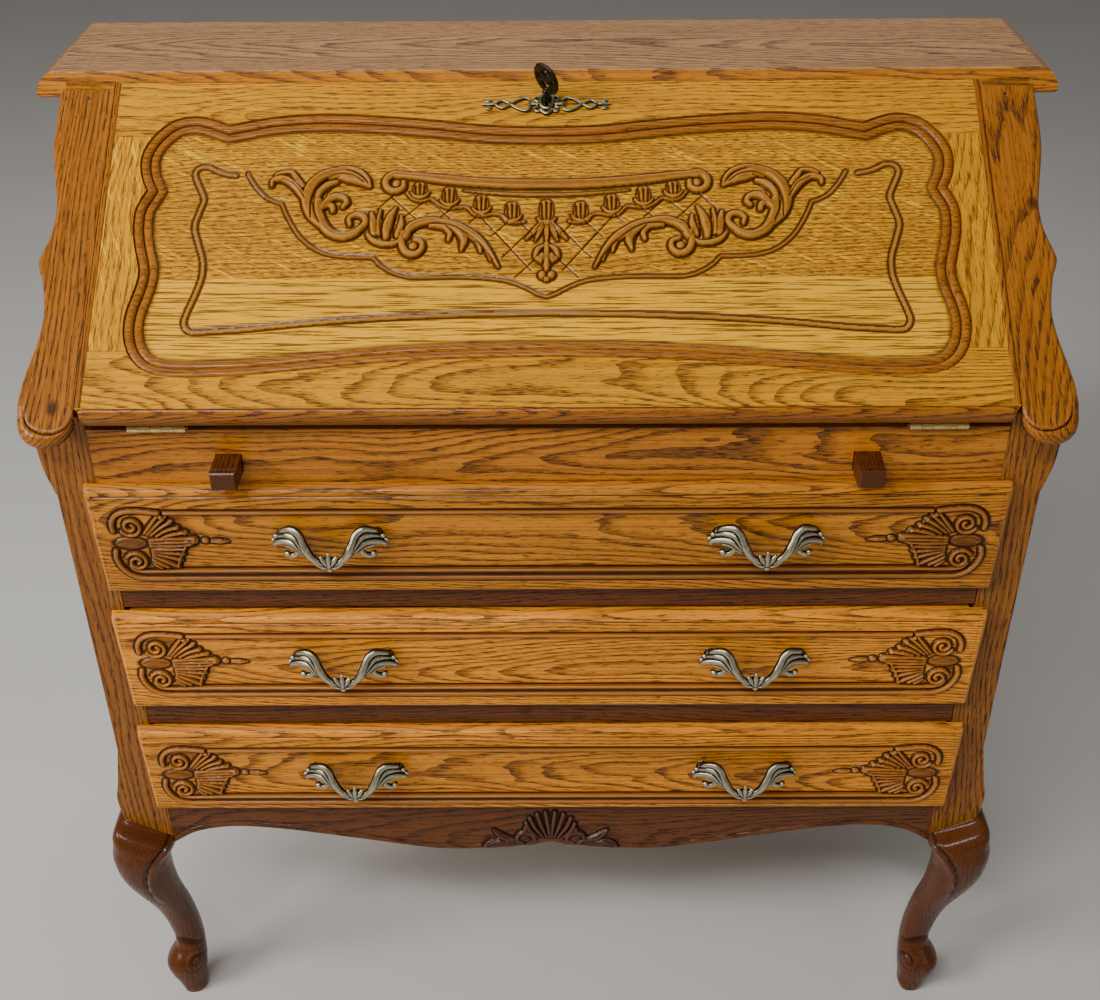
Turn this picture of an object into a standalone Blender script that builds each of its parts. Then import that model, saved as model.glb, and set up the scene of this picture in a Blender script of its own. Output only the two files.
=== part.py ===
"""Fall-front secretary desk in oak: carcass on cabriole legs, three drawers, fall with lopers, pigeonholes.

The desk stands on the floor (Z = 0), faces -Y, and is centred on X and Y.  Lengths below are in
millimetres and are turned into metres when a mesh is made.  Depths (y) are measured back from the
plane of the drawer fronts.  The fall and its trim use slope coordinates: x, s up the slope, n out of it.
"""
import math

import bmesh
import bpy
from mathutils import Matrix, Vector

MM = 0.001
GAP = 0.3                       # clearance between pieces that touch

# Overall
FRONT_TO_CENTRE = 211.55        # drawer-front plane to the middle of the desk's depth
FLOOR = 0.0
TOP_Z = 1015.6
TOP_THICKNESS = 20.2
BACK_Y = 451.8

# Carcass
OPENING_HALF = 412.5            # half width between the posts, at the deck and at the drawers
FRAME_Y = 12.0                  # front face of posts and rails
FRAME_BACK_Y = 34.0             # back face of the rails
POST_BACK_Y = 52.0
POST_OUTER = 451.0
REAR_POST_Y = 410.0
LEG_TOP_Z = 289.0
POST_SLANT = 26.0               # fall of the joint between post and knee, from outer to inner edge
PANEL_OUTER = 434.0
BACK_PANEL_Y = 438.0
BACK_PANEL_THICKNESS = 8.0

# Slope
SLOPE = math.radians(34.5)
SLOPE_Y = -5.0                  # bottom of the fall's outer face
SLOPE_Z = 812.8
FALL_LENGTH = 343.5
FALL_THICKNESS = 25.0
FALL_HALF = 412.0
WING_THICKNESS = 24.0

# Fall hinge pin
PIN_Y = 8.0
PIN_Z = 785.7
PIN_RADIUS = 1.5
KNUCKLE_RADIUS = 4.0
HINGE_X = 347.0
HINGE_LENGTH = 52.0
LEAF_THICKNESS = 1.6

# Writing deck, fascia and lopers
DECK_Z = 781.4
DECK_THICKNESS = 18.0
FASCIA_LOW_Z = 724.5
LOPER_X = 288.0
LOPER_WIDTH = 23.0
LOPER_TOP_Z = 755.4
LOPER_HEIGHT = 18.0
LOPER_FRONT_Y = -20.6
LOPER_BACK_Y = 330.0

# Drawers: bottom and top of the lip, bottom and top of the opening, height of the pull
DRAWERS = {
    "upper": (608.5, 720.3, 616.0, 724.5, 671.0),
    "middle": (461.7, 576.0, 469.0, 580.0, 525.0),
    "lower": (316.2, 423.7, 323.0, 428.0, 373.0),
}
LIP_HALF = 420.0
LIP_THICKNESS = FRAME_Y - GAP
FRONT_BLOCK_BACK_Y = 26.0
BOX_HALF = 408.0
BOX_BACK_Y = 392.0
BOX_WALL = 12.0
BOX_FLOOR = 8.0
BOX_SIDE_DROP = 13.0            # top of the front block to top of the drawer's sides
PULL_X = 201.0

# Interior fitting
UNIT_HALF = 411.9
UNIT_BOARD = 8.0
UNIT_SHELF_Z = 855.0
UNIT_TOP_Z = 932.0
UNIT_FRONT_Y = 205.0
UNIT_UPPER_FRONT_Y = 244.0
BAY_HALF = 140.0                # middle of the lower partitions

# Lock
KEY_S = 321.0                   # key axis, up the slope
BOLT_HALF = 14.5

OAK_CARCASS = ((0.30, 0.125, 0.035), 0.42, 0.0)
OAK_GOLD = ((0.42, 0.20, 0.05), 0.38, 0.0)
OAK_TOP = ((0.24, 0.125, 0.065), 0.35, 0.0)
OAK_DARK = ((0.13, 0.048, 0.018), 0.36, 0.0)
OAK_PLAIN = ((0.46, 0.30, 0.15), 0.60, 0.0)
PLYWOOD = ((0.40, 0.27, 0.15), 0.70, 0.0)
ANTIQUE_BRASS = ((0.36, 0.31, 0.22), 0.36, 1.0)
BRIGHT_BRASS = ((0.78, 0.58, 0.22), 0.28, 1.0)
DARK_BRONZE = ((0.13, 0.10, 0.07), 0.45, 1.0)
STEEL = ((0.45, 0.45, 0.46), 0.35, 1.0)


# --- building blocks -----------------------------------------------------------------------------

def clear_scene():
    for item in list(bpy.data.objects):
        bpy.data.objects.remove(item, do_unlink=True)


def finish_material(name, finish):
    color, roughness, metallic = finish
    material = bpy.data.materials.new(name)
    material.use_nodes = True
    shader = material.node_tree.nodes["Principled BSDF"]
    shader.inputs["Base Color"].default_value = (*color, 1.0)
    shader.inputs["Roughness"].default_value = roughness
    shader.inputs["Metallic"].default_value = metallic
    return material


def empty(name, location, parent=None, tilt=0.0):
    item = bpy.data.objects.new(name, None)
    bpy.context.scene.collection.objects.link(item)
    item.parent = parent
    item.location = Vector(location) * MM
    item.rotation_euler.x = tilt
    return item


def make_mesh(name, verts, faces):
    mesh = bpy.data.meshes.new(name)
    mesh.from_pydata([tuple(Vector(v) * MM) for v in verts], [], faces)
    bm = bmesh.new()
    bm.from_mesh(mesh)
    bmesh.ops.recalc_face_normals(bm, faces=bm.faces)
    bm.to_mesh(mesh)
    bm.free()
    return mesh


def node(name, mesh, finish, parent, location=(0, 0, 0), smooth=False):
    item = bpy.data.objects.new(name, mesh)
    bpy.context.scene.collection.objects.link(item)
    item.parent = parent
    item.location = Vector(location) * MM
    if finish is not None:
        item.data.materials.append(finish_material(name, finish))
    if smooth:
        mesh.shade_smooth()
        mesh.set_sharp_from_angle(angle=math.radians(40))
    return item


def soften(item, width=1.0):
    bevel = item.modifiers.new("edges", "BEVEL")
    bevel.width = width * MM
    bevel.segments = 1
    bevel.limit_method = "ANGLE"
    bevel.angle_limit = math.radians(50)
    return item


def boolean(item, mesh, operation="DIFFERENCE", tool_parent=None, location=(0, 0, 0)):
    """Cut or join a hidden tool object, kept beside the piece it shapes."""
    parent = item.parent if tool_parent is None else tool_parent
    tool = node(item.name + "_tool", mesh, None, parent, location)
    tool.hide_render = True
    tool.display_type = "WIRE"
    modifier = item.modifiers.new(operation.lower(), "BOOLEAN")
    modifier.operation = operation
    modifier.object = tool
    modifier.solver = "EXACT"
    return item


def loft(name, rings):
    """Close a stack of equal rings into a solid."""
    count = len(rings[0])
    verts = [point for ring in rings for point in ring]
    faces = [tuple(range(count)), tuple(range((len(rings) - 1) * count, len(rings) * count))]
    for level in range(len(rings) - 1):
        base = level * count
        for i in range(count):
            j = (i + 1) % count
            faces.append((base + i, base + j, base + count + j, base + count + i))
    return make_mesh(name, verts, faces)


def prism(name, outline, axis, low, high):
    """Extrude an outline along an axis; it is given in the other two axes, in X, Y, Z order."""
    order = {"X": lambda a, b, d: (d, a, b), "Y": lambda a, b, d: (a, d, b), "Z": lambda a, b, d: (a, b, d)}
    place = order[axis]
    return loft(name, [[place(a, b, depth) for a, b in outline] for depth in (low, high)])


def box(name, low, high):
    outline = [(low[0], low[1]), (high[0], low[1]), (high[0], high[1]), (low[0], high[1])]
    return prism(name, outline, "Z", low[2], high[2])


def arc(centre, radius, start, end, steps):
    """Points on an ellipse; radius is one number or (first axis, second axis), angles in degrees."""
    rx, ry = radius if isinstance(radius, tuple) else (radius, radius)
    points = []
    for i in range(steps + 1):
        angle = math.radians(start + (end - start) * i / steps)
        points.append((centre[0] + rx * math.cos(angle), centre[1] + ry * math.sin(angle)))
    return points


def smooth_line(points, steps):
    """Catmull-Rom curve through the points."""
    ends = [points[0]] + list(points) + [points[-1]]
    line = []
    for i in range(1, len(ends) - 2):
        p0, p1, p2, p3 = (Vector(p) for p in ends[i - 1:i + 3])
        for k in range(steps):
            t = k / steps
            line.append(tuple(0.5 * (2 * p1 + (p2 - p0) * t + (2 * p0 - 5 * p1 + 4 * p2 - p3) * t ** 2
                                     + (3 * p1 - 3 * p2 + p3 - p0) * t ** 3)))
    line.append(tuple(points[-1]))
    return line


def cylinder(name, radius, axis, centre, low, high, sides=20):
    """Round bar with a facet, not an edge, at its lowest line."""
    start = 180.0 / sides
    outline = arc(centre, radius, start, start + 360, sides)[:-1]
    return prism(name, outline, axis, low, high)


def tube_along(name, path, radius, sides):
    """Round bar along a path of points; the radius may differ at each point."""
    radii = radius if isinstance(radius, list) else [radius] * len(path)
    points = [Vector(p) for p in path]
    rings = []
    side = None
    for i, point in enumerate(points):
        ahead = points[min(i + 1, len(points) - 1)] - points[max(i - 1, 0)]
        ahead.normalize()
        if side is None:
            side = ahead.orthogonal().normalized()
        side = (side - ahead * side.dot(ahead)).normalized()
        other = ahead.cross(side)
        ring = []
        for k in range(sides):
            angle = 2 * math.pi * k / sides
            ring.append(tuple(point + radii[i] * (math.cos(angle) * side + math.sin(angle) * other)))
        rings.append(ring)
    return loft(name, rings)


def slope_point(s, n):
    """Depth and height of a point given up the slope and out of it."""
    y = SLOPE_Y + s * math.cos(SLOPE) - n * math.sin(SLOPE)
    z = SLOPE_Z + s * math.sin(SLOPE) + n * math.cos(SLOPE)
    return y, z


def under_slope(y, depth):
    """Height of the plane that lies the given depth under the slope."""
    return SLOPE_Z + (y - SLOPE_Y) * math.tan(SLOPE) - depth / math.cos(SLOPE)


def mirrored(outline):
    """Close a right-hand outline over X = 0 (its first and last points lie on the axis)."""
    return outline + [(-x, y) for x, y in reversed(outline[1:-1])]


def widened(outline, distance):
    """Move a closed clockwise outline outwards by a distance."""
    points = [Vector(p) for p in outline]
    moved = []
    for i, point in enumerate(points):
        along = (points[(i + 1) % len(points)] - points[i - 1]).normalized()
        moved.append(tuple(point + distance * Vector((-along.y, along.x))))
    return moved


# --- carcass -------------------------------------------------------------------------------------

def top_board(desk, slope):
    edge_z = 1003.1
    edge_front = SLOPE_Y + (edge_z - SLOPE_Z) / math.tan(SLOPE)
    flat_front = SLOPE_Y + (TOP_Z - SLOPE_Z) / math.tan(SLOPE)
    underside = TOP_Z - TOP_THICKNESS
    half_top = 487.5
    levels = [(underside, half_top - 2.5, edge_front + 2.5), (underside + 2.5, half_top, edge_front),
              (edge_z, half_top, edge_front)]
    for step in (1, 2, 3):
        angle = math.radians(30 * step)
        z = edge_z + (TOP_Z - edge_z) * math.sin(angle)
        front = edge_front + (flat_front - edge_front) * math.sin(angle)
        levels.append((z, half_top - 12.2 * (1 - math.cos(angle)), front))
    rings = []
    for z, half, front in levels:
        rings.append([(-half, front, z), (half, front, z), (half, BACK_Y, z), (-half, BACK_Y, z)])
    board = node("top_board", loft("top_board", rings), OAK_TOP, desk)
    notch = box("notch", (-FALL_HALF - 2.4, 300.0, -60.0), (FALL_HALF + 2.4, FALL_LENGTH + 0.4, 30.0))
    boolean(board, notch, tool_parent=slope)
    boolean(board, bolt_mortise(), tool_parent=slope)


def bolt_mortise():
    return box("mortise", (-BOLT_HALF - 1, FALL_LENGTH - 3, -25.0), (BOLT_HALF + 1, FALL_LENGTH + 8, -17.0))


def top_rail(desk, slope):
    """Rail under the top that the closed fall lands on and locks into."""
    stop = FALL_THICKNESS + GAP
    head = FALL_LENGTH + 0.4
    under = TOP_Z - TOP_THICKNESS - GAP
    n_top = (under - SLOPE_Z - head * math.sin(SLOPE)) / math.cos(SLOPE)
    outline = [slope_point(head, n_top), slope_point(head, -stop), slope_point(FALL_LENGTH - 22, -stop)]
    low = outline[-1][1]
    outline += [(345.0, low), (345.0, under)]
    rail = node("top_rail", prism("top_rail", outline, "X", -UNIT_HALF, UNIT_HALF), OAK_PLAIN, desk)
    boolean(rail, bolt_mortise(), tool_parent=slope)


def side_panel(desk, side, sign):
    """Board between the posts, with an ogee lower edge and the slope cut in front."""
    front, back = POST_BACK_Y + GAP, REAR_POST_Y - GAP
    under = TOP_Z - TOP_THICKNESS - GAP
    depth = WING_THICKNESS + GAP
    slope_end = SLOPE_Y + (under + depth / math.cos(SLOPE) - SLOPE_Z) / math.tan(SLOPE)
    middle = (front + back) / 2
    lower = smooth_line([(front, 258), (front + 60, 283), (middle - 40, 272), (middle, 266),
                         (middle + 40, 272), (back - 60, 283), (back, 258)], 3)
    outline = lower + [(back, under), (slope_end, under), (front, under_slope(front, depth))]
    x_low, x_high = sorted((sign * (OPENING_HALF + GAP), sign * PANEL_OUTER))
    panel = node("side_panel_" + side, prism("panel", outline, "X", x_low, x_high), OAK_CARCASS, desk)
    soften(panel)


def wing_outline(inset):
    """Serpentine outer edge and rounded nose of a sloping stile, set in from its edge."""
    curve = [(465, 346), (465, 300), (464, 268), (457.5, 230), (453.4, 204), (455, 178), (462.5, 151),
             (461, 140), (456.5, 127), (451.3, 94), (453.6, 67), (458.5, 43), (462.5, 20), (463.5, -6)]
    outer = [(x - inset, s) for x, s in smooth_line(curve, 2)]
    nose = arc((438.3, -8), (25.2 - inset, 24 - inset), 0, -180, 12)[1:-1]
    return [(FALL_HALF + 0.8, 346)] + outer + nose + [(FALL_HALF + 0.8, -8)]


def wing(slope, desk, side, sign):
    """Stile that lies on the sloping front edge of the side, round nosed at the bottom."""
    layers = [(0.0, 5.0), (-1.5, 2.2), (-5.0, 0.0), (-18.0, 0.0), (-WING_THICKNESS, 4.0)]
    rings = []
    for n, inset in layers:
        rings.append([(sign * x, s, n) for x, s in wing_outline(inset)])
    stile = node("slope_stile_" + side, loft("stile", rings), OAK_CARCASS, slope, smooth=True)
    nose_y = SLOPE_Y + (1003.1 - SLOPE_Z) / math.tan(SLOPE)
    under = TOP_Z - TOP_THICKNESS
    boolean(stile, box("trim", (-600, nose_y - GAP, under - GAP), (600, 600, 1200)), tool_parent=desk)


def post_outline():
    """Half width of the front post's outer edge at each height, bottom to top."""
    return smooth_line([(461, LEG_TOP_Z), (464, 318), (459, 345), (452.5, 385), (POST_OUTER, 420),
                        (POST_OUTER, 690), (452, 712), (458, 738), (460, 762)], 3)


def front_post(desk, side, sign):
    outer = post_outline()
    rings = []
    for y in (FRAME_Y, POST_BACK_Y):
        top = under_slope(y, WING_THICKNESS + GAP)
        ring = [(OPENING_HALF, LEG_TOP_Z - POST_SLANT)] + outer + [(460, top), (OPENING_HALF, top)]
        rings.append([(sign * x, y, z) for x, z in ring])
    node("front_post_" + side, loft("post", rings), OAK_CARCASS, desk, smooth=True)


def rear_post(desk, side, sign):
    x_low, x_high = sorted((sign * OPENING_HALF, sign * POST_OUTER))
    mesh = box("rear_post", (x_low, REAR_POST_Y, LEG_TOP_Z), (x_high, BACK_Y, TOP_Z - TOP_THICKNESS - GAP))
    soften(node("rear_post_" + side, mesh, OAK_CARCASS, desk))


# Cabriole leg: height, centre across, centre in depth, half width
LEG_STATIONS = [(284, 441.0, 26.0, 27.5), (275, 444.5, 21.5, 29.0), (262, 446.0, 17.0, 29.5),
                (245, 449.3, 13.5, 31.0), (225, 450.2, 12.3, 28.6), (205, 448.2, 13.5, 26.2),
                (180, 443.2, 17.5, 22.4), (160, 438.5, 22.3, 19.9), (140, 434.2, 27.5, 18.4),
                (118, 430.6, 31.5, 17.3), (95, 427.7, 34.0, 16.6), (72, 426.0, 34.5, 16.2),
                (64, 426.4, 33.5, 16.6), (55, 429.2, 30.5, 19.9), (44, 432.2, 27.5, 22.8),
                (30, 431.2, 25.0, 20.8), (18, 429.0, 23.0, 17.0), (8, 427.0, 21.5, 14.8),
                (0, 427.0, 20.0, 12.0)]


def leg_ring(centre, half_x, half_y, power, lean, sides=16):
    """Rounded square across the leg; lean is how far its inner side hangs below its outer side."""
    x, y, z = centre
    ring = []
    for k in range(sides):
        angle = 2 * math.pi * (k + 0.5) / sides
        c, s = math.cos(angle), math.sin(angle)
        across = half_x * math.copysign(abs(c) ** (2.0 / power), c)
        along = half_y * math.copysign(abs(s) ** (2.0 / power), s)
        ring.append((x + across, y + along, z - lean * (half_x - across) / (2 * half_x)))
    return ring


def leg(desk, place, sign, rear):
    """Knee that swells out under the post, slim ankle and foot; a rear leg stays flat in depth."""
    post_middle = (FRAME_Y + POST_BACK_Y) / 2
    foot_middle = (REAR_POST_Y + BACK_Y) / 2
    head = [(LEG_TOP_Z - GAP, 436.8, post_middle, 24.3)]
    rings = []
    for z, x, y, half in head + LEG_STATIONS:
        knee = min(max((z - 245.0) / (LEG_TOP_Z - 245.0), 0.0), 1.0)
        power = 2.4 + 5.0 * knee
        if rear:
            rings.append(leg_ring((x, foot_middle, z), half, min(half, 20.5), power, 0.0))
        else:
            depth = 20.0 if z > 285 else min(half, POST_BACK_Y - y)
            rings.append(leg_ring((x, y, z), half, depth, power, POST_SLANT * knee))
    outline = [[(sign * x, y, z) for x, y, z in ring] for ring in rings]
    node(place, loft(place, outline), OAK_DARK, desk, smooth=True)


def apron(desk):
    """Front apron with a serpentine lower edge."""
    half = OPENING_HALF - GAP
    lower = smooth_line([(0, 247), (35, 245), (72, 241), (128, 241), (211, 256), (290, 270), (344, 274),
                         (385, 266), (half, 249)], 3)
    outline = mirrored(lower + [(half, DRAWERS["lower"][2]), (0, DRAWERS["lower"][2])])
    soften(node("front_apron", prism("apron", outline, "Y", FRAME_Y, FRAME_BACK_Y), OAK_CARCASS, desk))


def divider(desk, name, low_z, high_z):
    half = OPENING_HALF - GAP
    mesh = box(name, (-half, FRAME_Y, low_z), (half, FRAME_BACK_Y, high_z))
    soften(node(name, mesh, OAK_CARCASS, desk))


def fascia(desk):
    """Rail over the drawers with a slot for each loper."""
    half = OPENING_HALF - GAP
    mesh = box("fascia", (-half, FRAME_Y, FASCIA_LOW_Z), (half, FRAME_BACK_Y, DECK_Z))
    rail = node("fascia_rail", mesh, OAK_CARCASS, desk)
    play = 0.6
    for sign in (-1, 1):
        low_x = sign * LOPER_X - LOPER_WIDTH / 2 - play
        high_x = sign * LOPER_X + LOPER_WIDTH / 2 + play
        slot = box("slot", (low_x, 0, LOPER_TOP_Z - LOPER_HEIGHT - play), (high_x, 60, LOPER_TOP_Z + play))
        boolean(rail, slot)


def writing_deck(desk):
    half = OPENING_HALF - GAP
    front, back = FRAME_BACK_Y + GAP, BACK_PANEL_Y - GAP
    mesh = box("deck", (-half, front, DECK_Z - DECK_THICKNESS), (half, back, DECK_Z))
    soften(node("writing_deck", mesh, OAK_GOLD, desk))


def back_panel(desk):
    half = OPENING_HALF - GAP
    mesh = box("back", (-half, BACK_PANEL_Y, LEG_TOP_Z),
               (half, BACK_PANEL_Y + BACK_PANEL_THICKNESS, TOP_Z - TOP_THICKNESS - GAP))
    node("back_panel", mesh, PLYWOOD, desk)


def runner_frame(desk, name, top_z):
    """U-shaped frame that a drawer's sides slide on."""
    outer, inner = OPENING_HALF - GAP, 384.0
    front, back, cross = FRAME_BACK_Y + GAP, BACK_PANEL_Y - GAP, 400.0
    outline = [(-outer, front), (-inner, front), (-inner, cross), (inner, cross), (inner, front),
               (outer, front), (outer, back), (-outer, back)]
    node(name, prism(name, outline, "Z", top_z - 16.0, top_z - 0.1), OAK_PLAIN, desk)


def loper_guide(desk, side, sign):
    """Channel hung under the deck, in which a loper slides."""
    inner, outer = LOPER_WIDTH / 2 + 0.6, LOPER_WIDTH / 2 + 9.0
    floor = LOPER_TOP_Z - LOPER_HEIGHT - 0.6
    top = DECK_Z - DECK_THICKNESS - GAP
    low = FASCIA_LOW_Z + 0.6
    section = [(-outer, low), (outer, low), (outer, top), (inner, top), (inner, floor),
               (-inner, floor), (-inner, top), (-outer, top)]
    outline = [(sign * LOPER_X + x, z) for x, z in section]
    mesh = prism("guide", outline, "Y", FRAME_BACK_Y + GAP, 420.0)
    node("loper_guide_" + side, mesh, OAK_PLAIN, desk)


def loper(desk, side, sign):
    """Bar that is pulled out to carry the open fall; a groove marks its head, a peg stops it."""
    half_z, half_x = LOPER_HEIGHT / 2, LOPER_WIDTH / 2
    origin = empty("loper_slide_" + side, (sign * LOPER_X, LOPER_FRONT_Y, LOPER_TOP_Z - half_z), desk)
    length = LOPER_BACK_Y - LOPER_FRONT_Y
    stations = [(0, 1.2), (1.2, 0), (6.0, 0), (6.6, 0.9), (7.6, 0.9), (8.2, 0), (length, 0)]
    rings = []
    for y, inset in stations:
        x, z = half_x - inset, half_z - inset
        rings.append([(-x, y, -z), (x, y, -z), (x, y, z), (-x, y, z)])
    bar = node("loper_" + side, loft("loper", rings), OAK_DARK, origin)
    peg = cylinder("peg", 4.0, "Z", (0, length - 12.0), half_z - 2.0, half_z + 6.0, 12)
    boolean(bar, peg, "UNION")


# --- drawers -------------------------------------------------------------------------------------

def drawer(desk, name, lip_low, lip_high, open_low, open_high, pull_z):
    slide = empty("drawer_slide_" + name, (0, 0, (lip_low + lip_high) / 2), desk)
    drop = Vector((0, 0, -(lip_low + lip_high) / 2))
    radius = 9.0
    edge = arc((radius, lip_high - radius), radius, 180, 90, 4)
    back = LIP_THICKNESS
    outline = [(0.8, lip_low), (0, lip_low + 0.8)] + edge + [(back, lip_high), (back, lip_low)]
    lip = prism("front", outline, "X", -LIP_HALF, LIP_HALF)
    front = node("drawer_front_" + name, lip, OAK_GOLD, slide, drop)
    block_top = min(open_high - 2.0, lip_high - 1.5)
    block = box("block", (-BOX_HALF, back - 2.0, open_low + 0.6), (BOX_HALF, FRONT_BLOCK_BACK_Y, block_top))
    boolean(front, block, "UNION", location=drop)

    low, high = open_low + 0.5, block_top - BOX_SIDE_DROP
    start = FRONT_BLOCK_BACK_Y + GAP
    tray = node("drawer_box_" + name, box("tray", (-BOX_HALF, start, low), (BOX_HALF, BOX_BACK_Y, high)),
                OAK_PLAIN, slide, drop)
    inner = BOX_HALF - BOX_WALL
    hollow = box("hollow", (-inner, start - 10, low + BOX_FLOOR), (inner, BOX_BACK_Y - BOX_WALL, high + 10))
    boolean(tray, hollow, location=drop)
    for side, sign in (("left", -1), ("right", 1)):
        pull(slide, name + "_" + side, sign * PULL_X, pull_z + drop.z)


def pull(slide, name, x, z):
    """Cast bow pull: two scrolled ends on the drawer front and a bow that hangs clear of it."""
    half = [(44, -4.2, 12), (43, -11, 14), (38, -18, 11), (30, -22, 1), (20, -24, -10),
            (9, -24.5, -15.5), (0, -24.5, -17)]
    right = smooth_line(half, 2)
    path = right + [(-px, py, pz) for px, py, pz in reversed(right[:-1])]
    grip = [3.2 + 1.1 * abs(math.cos(math.pi * i / (len(path) - 1))) for i in range(len(path))]
    bow = node("pull_" + name, tube_along("bow", path, grip, 8), ANTIQUE_BRASS, slide, (x, 0, z), smooth=True)
    for sign in (-1, 1):
        rings = []
        for y, reach in ((-GAP, 0.75), (-3.0, 1.0), (-6.0, 0.95), (-9.0, 0.55)):
            outline = arc((sign * 45.0, 11.0), (9.5 * reach, 13.0 * reach), 0, 360, 10)[:-1]
            rings.append([(px, y, pz) for px, pz in outline])
        boolean(bow, loft("rose", rings), "UNION", location=(x, 0, z))


# --- fall ----------------------------------------------------------------------------------------

def field_outline(grow=0.0):
    """Serpentine outline of the sunk field: lobed corners, cusps, and an arched top and bottom."""
    arch = smooth_line([(0, 292.5), (51, 294), (102, 300), (153, 305), (208, 308), (255, 305),
                        (285, 299), (299, 296)], 3)
    lobe = smooth_line([(299, 296), (315, 302.5), (332, 306), (352, 301.5), (368, 287), (378, 268),
                        (379.5, 251), (376, 235), (371, 224)], 2)[1:]
    flank = smooth_line([(371, 224), (379, 205), (379.5, 184), (376, 163), (370, 140), (371, 123), (377, 97),
                         (377.5, 76), (372, 56), (360, 40.5), (342, 32.5), (317, 30.5)], 2)[1:]
    foot = smooth_line([(317, 30.5), (265, 32.5), (204, 38.5), (150, 44), (80, 48), (0, 49.5)], 3)[1:]
    return widened(mirrored(arch + lobe + flank + foot), grow)


def fall(hinge):
    """Frame, sunk carved panel and nosing, all turning with the hinge."""
    low, high = -FALL_THICKNESS, 0.0
    rail_low, rail_high = 283.0, 56.3
    rails = {"fall_bottom_rail": (0.3, rail_high), "fall_top_rail": (rail_low, FALL_LENGTH)}
    parts = []
    for name, (s_low, s_high) in rails.items():
        mesh = box(name, (-FALL_HALF, s_low, low), (FALL_HALF, s_high, high))
        parts.append(fall_piece(hinge, name, mesh, OAK_GOLD))
    for side, sign in (("left", -1), ("right", 1)):
        x_low, x_high = sorted((sign * 364.0, sign * FALL_HALF))
        mesh = box("stile", (x_low, rail_high + GAP, low), (x_high, rail_low - GAP, high))
        parts.append(fall_piece(hinge, "fall_stile_" + side, mesh, OAK_GOLD))
    for part in parts:
        boolean(part, prism("field", field_outline(GAP), "Z", low - 5, high + 5), location=part.location / MM)
    panel = prism("panel", field_outline(0.0), "Z", low + 3.0, -4.0)
    fall_piece(hinge, "fall_panel", panel, OAK_GOLD)
    nosing = arc((0, -FALL_THICKNESS / 2), (8.0, FALL_THICKNESS / 2), 90, 270, 10)
    mesh = prism("nosing", nosing, "X", -FALL_HALF, FALL_HALF)
    fall_piece(hinge, "fall_nosing", mesh, OAK_CARCASS, smooth=True)
    return parts[1]


def fall_piece(hinge, name, mesh, finish, smooth=False):
    """Piece given in slope coordinates, carried by the hinge empty on the pin."""
    pin_s = (PIN_Y - SLOPE_Y) * math.cos(SLOPE) + (PIN_Z - SLOPE_Z) * math.sin(SLOPE)
    pin_n = (PIN_Z - SLOPE_Z) * math.cos(SLOPE) - (PIN_Y - SLOPE_Y) * math.sin(SLOPE)
    return node(name, mesh, finish, hinge, (0, -pin_s, -pin_n), smooth)


def lock(hinge, rail):
    """Mortised lock behind the top rail, with its bolt, key and escutcheon."""
    place = rail.location / MM
    inner = -FALL_THICKNESS
    half, s_low = 28.0, 296.0
    recess = box("recess", (-half - GAP, s_low - GAP, inner - 5), (half + GAP, FALL_LENGTH + 5, -11.7))
    boolean(rail, recess, location=place)
    boolean(rail, keyhole(-30.0, 5.0), location=place)

    case_mesh = box("case", (-half, s_low, inner), (half, FALL_LENGTH - 0.2, -12.0))
    case = fall_piece(hinge, "lock_case", case_mesh, STEEL)
    ward = cylinder("ward", 9.5, "Z", (0, KEY_S), inner + 2, -15.0, 20)
    boolean(case, ward, location=place)
    boolean(case, keyhole(-18.0, -10.0), location=place)
    slot = box("slot", (-BOLT_HALF - 0.5, KEY_S + 6, -24.0), (BOLT_HALF + 0.5, FALL_LENGTH + 5, -18.0))
    boolean(case, slot, location=place)
    bolt = box("bolt", (-BOLT_HALF, KEY_S + 11.5, -23.5), (BOLT_HALF, FALL_LENGTH - 0.6, -18.5))
    fall_piece(hinge, "lock_bolt", bolt, STEEL)

    escutcheon(hinge, place)
    key(hinge, place)


def keyhole(low, high):
    """Round hole for the stem with a slot below it for the bit."""
    outline = arc((0, KEY_S), 3.6, -58, 238, 14) + [(-1.9, KEY_S - 10.0), (1.9, KEY_S - 10.0)]
    return prism("keyhole", outline, "Z", low, high)


def escutcheon(hinge, place):
    """Long pierced plate with a keyhole at its middle."""
    edge = smooth_line([(0, 13), (9, 10), (14, 6), (24, 4), (34, 7.5), (44, 3.5), (53, 5.5), (63, 0)], 2)
    right = edge + [(x, -s) for x, s in reversed(edge[:-1])]
    outline = mirrored([(x, KEY_S + s) for x, s in right])
    plate = fall_piece(hinge, "escutcheon", prism("plate", outline, "Z", GAP, 2.4), ANTIQUE_BRASS)
    boolean(plate, keyhole(-5.0, 5.0), location=place)


def key(hinge, place):
    """Key that stands in the lock, its bow turned up to the left."""
    pivot = empty("key_turn", Vector((0, KEY_S, 0)) + Vector(place), hinge)
    pivot.rotation_euler.z = math.radians(128.0)
    stem = node("key", cylinder("stem", 3.0, "Z", (0, 0), -22.0, 16.0, 14), DARK_BRONZE, pivot, smooth=True)
    boolean(stem, box("bit", (0.7, -1.2, -21.3), (7.5, 1.2, -16.5)), "UNION")
    boolean(stem, prism("bow", arc((0, 33), (15, 19), 0, 360, 20)[:-1], "Y", -2.0, 2.0), "UNION")
    boolean(stem, prism("eye", arc((0, 34), (6, 8), 0, 360, 14)[:-1], "Y", -6.0, 6.0))


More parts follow.
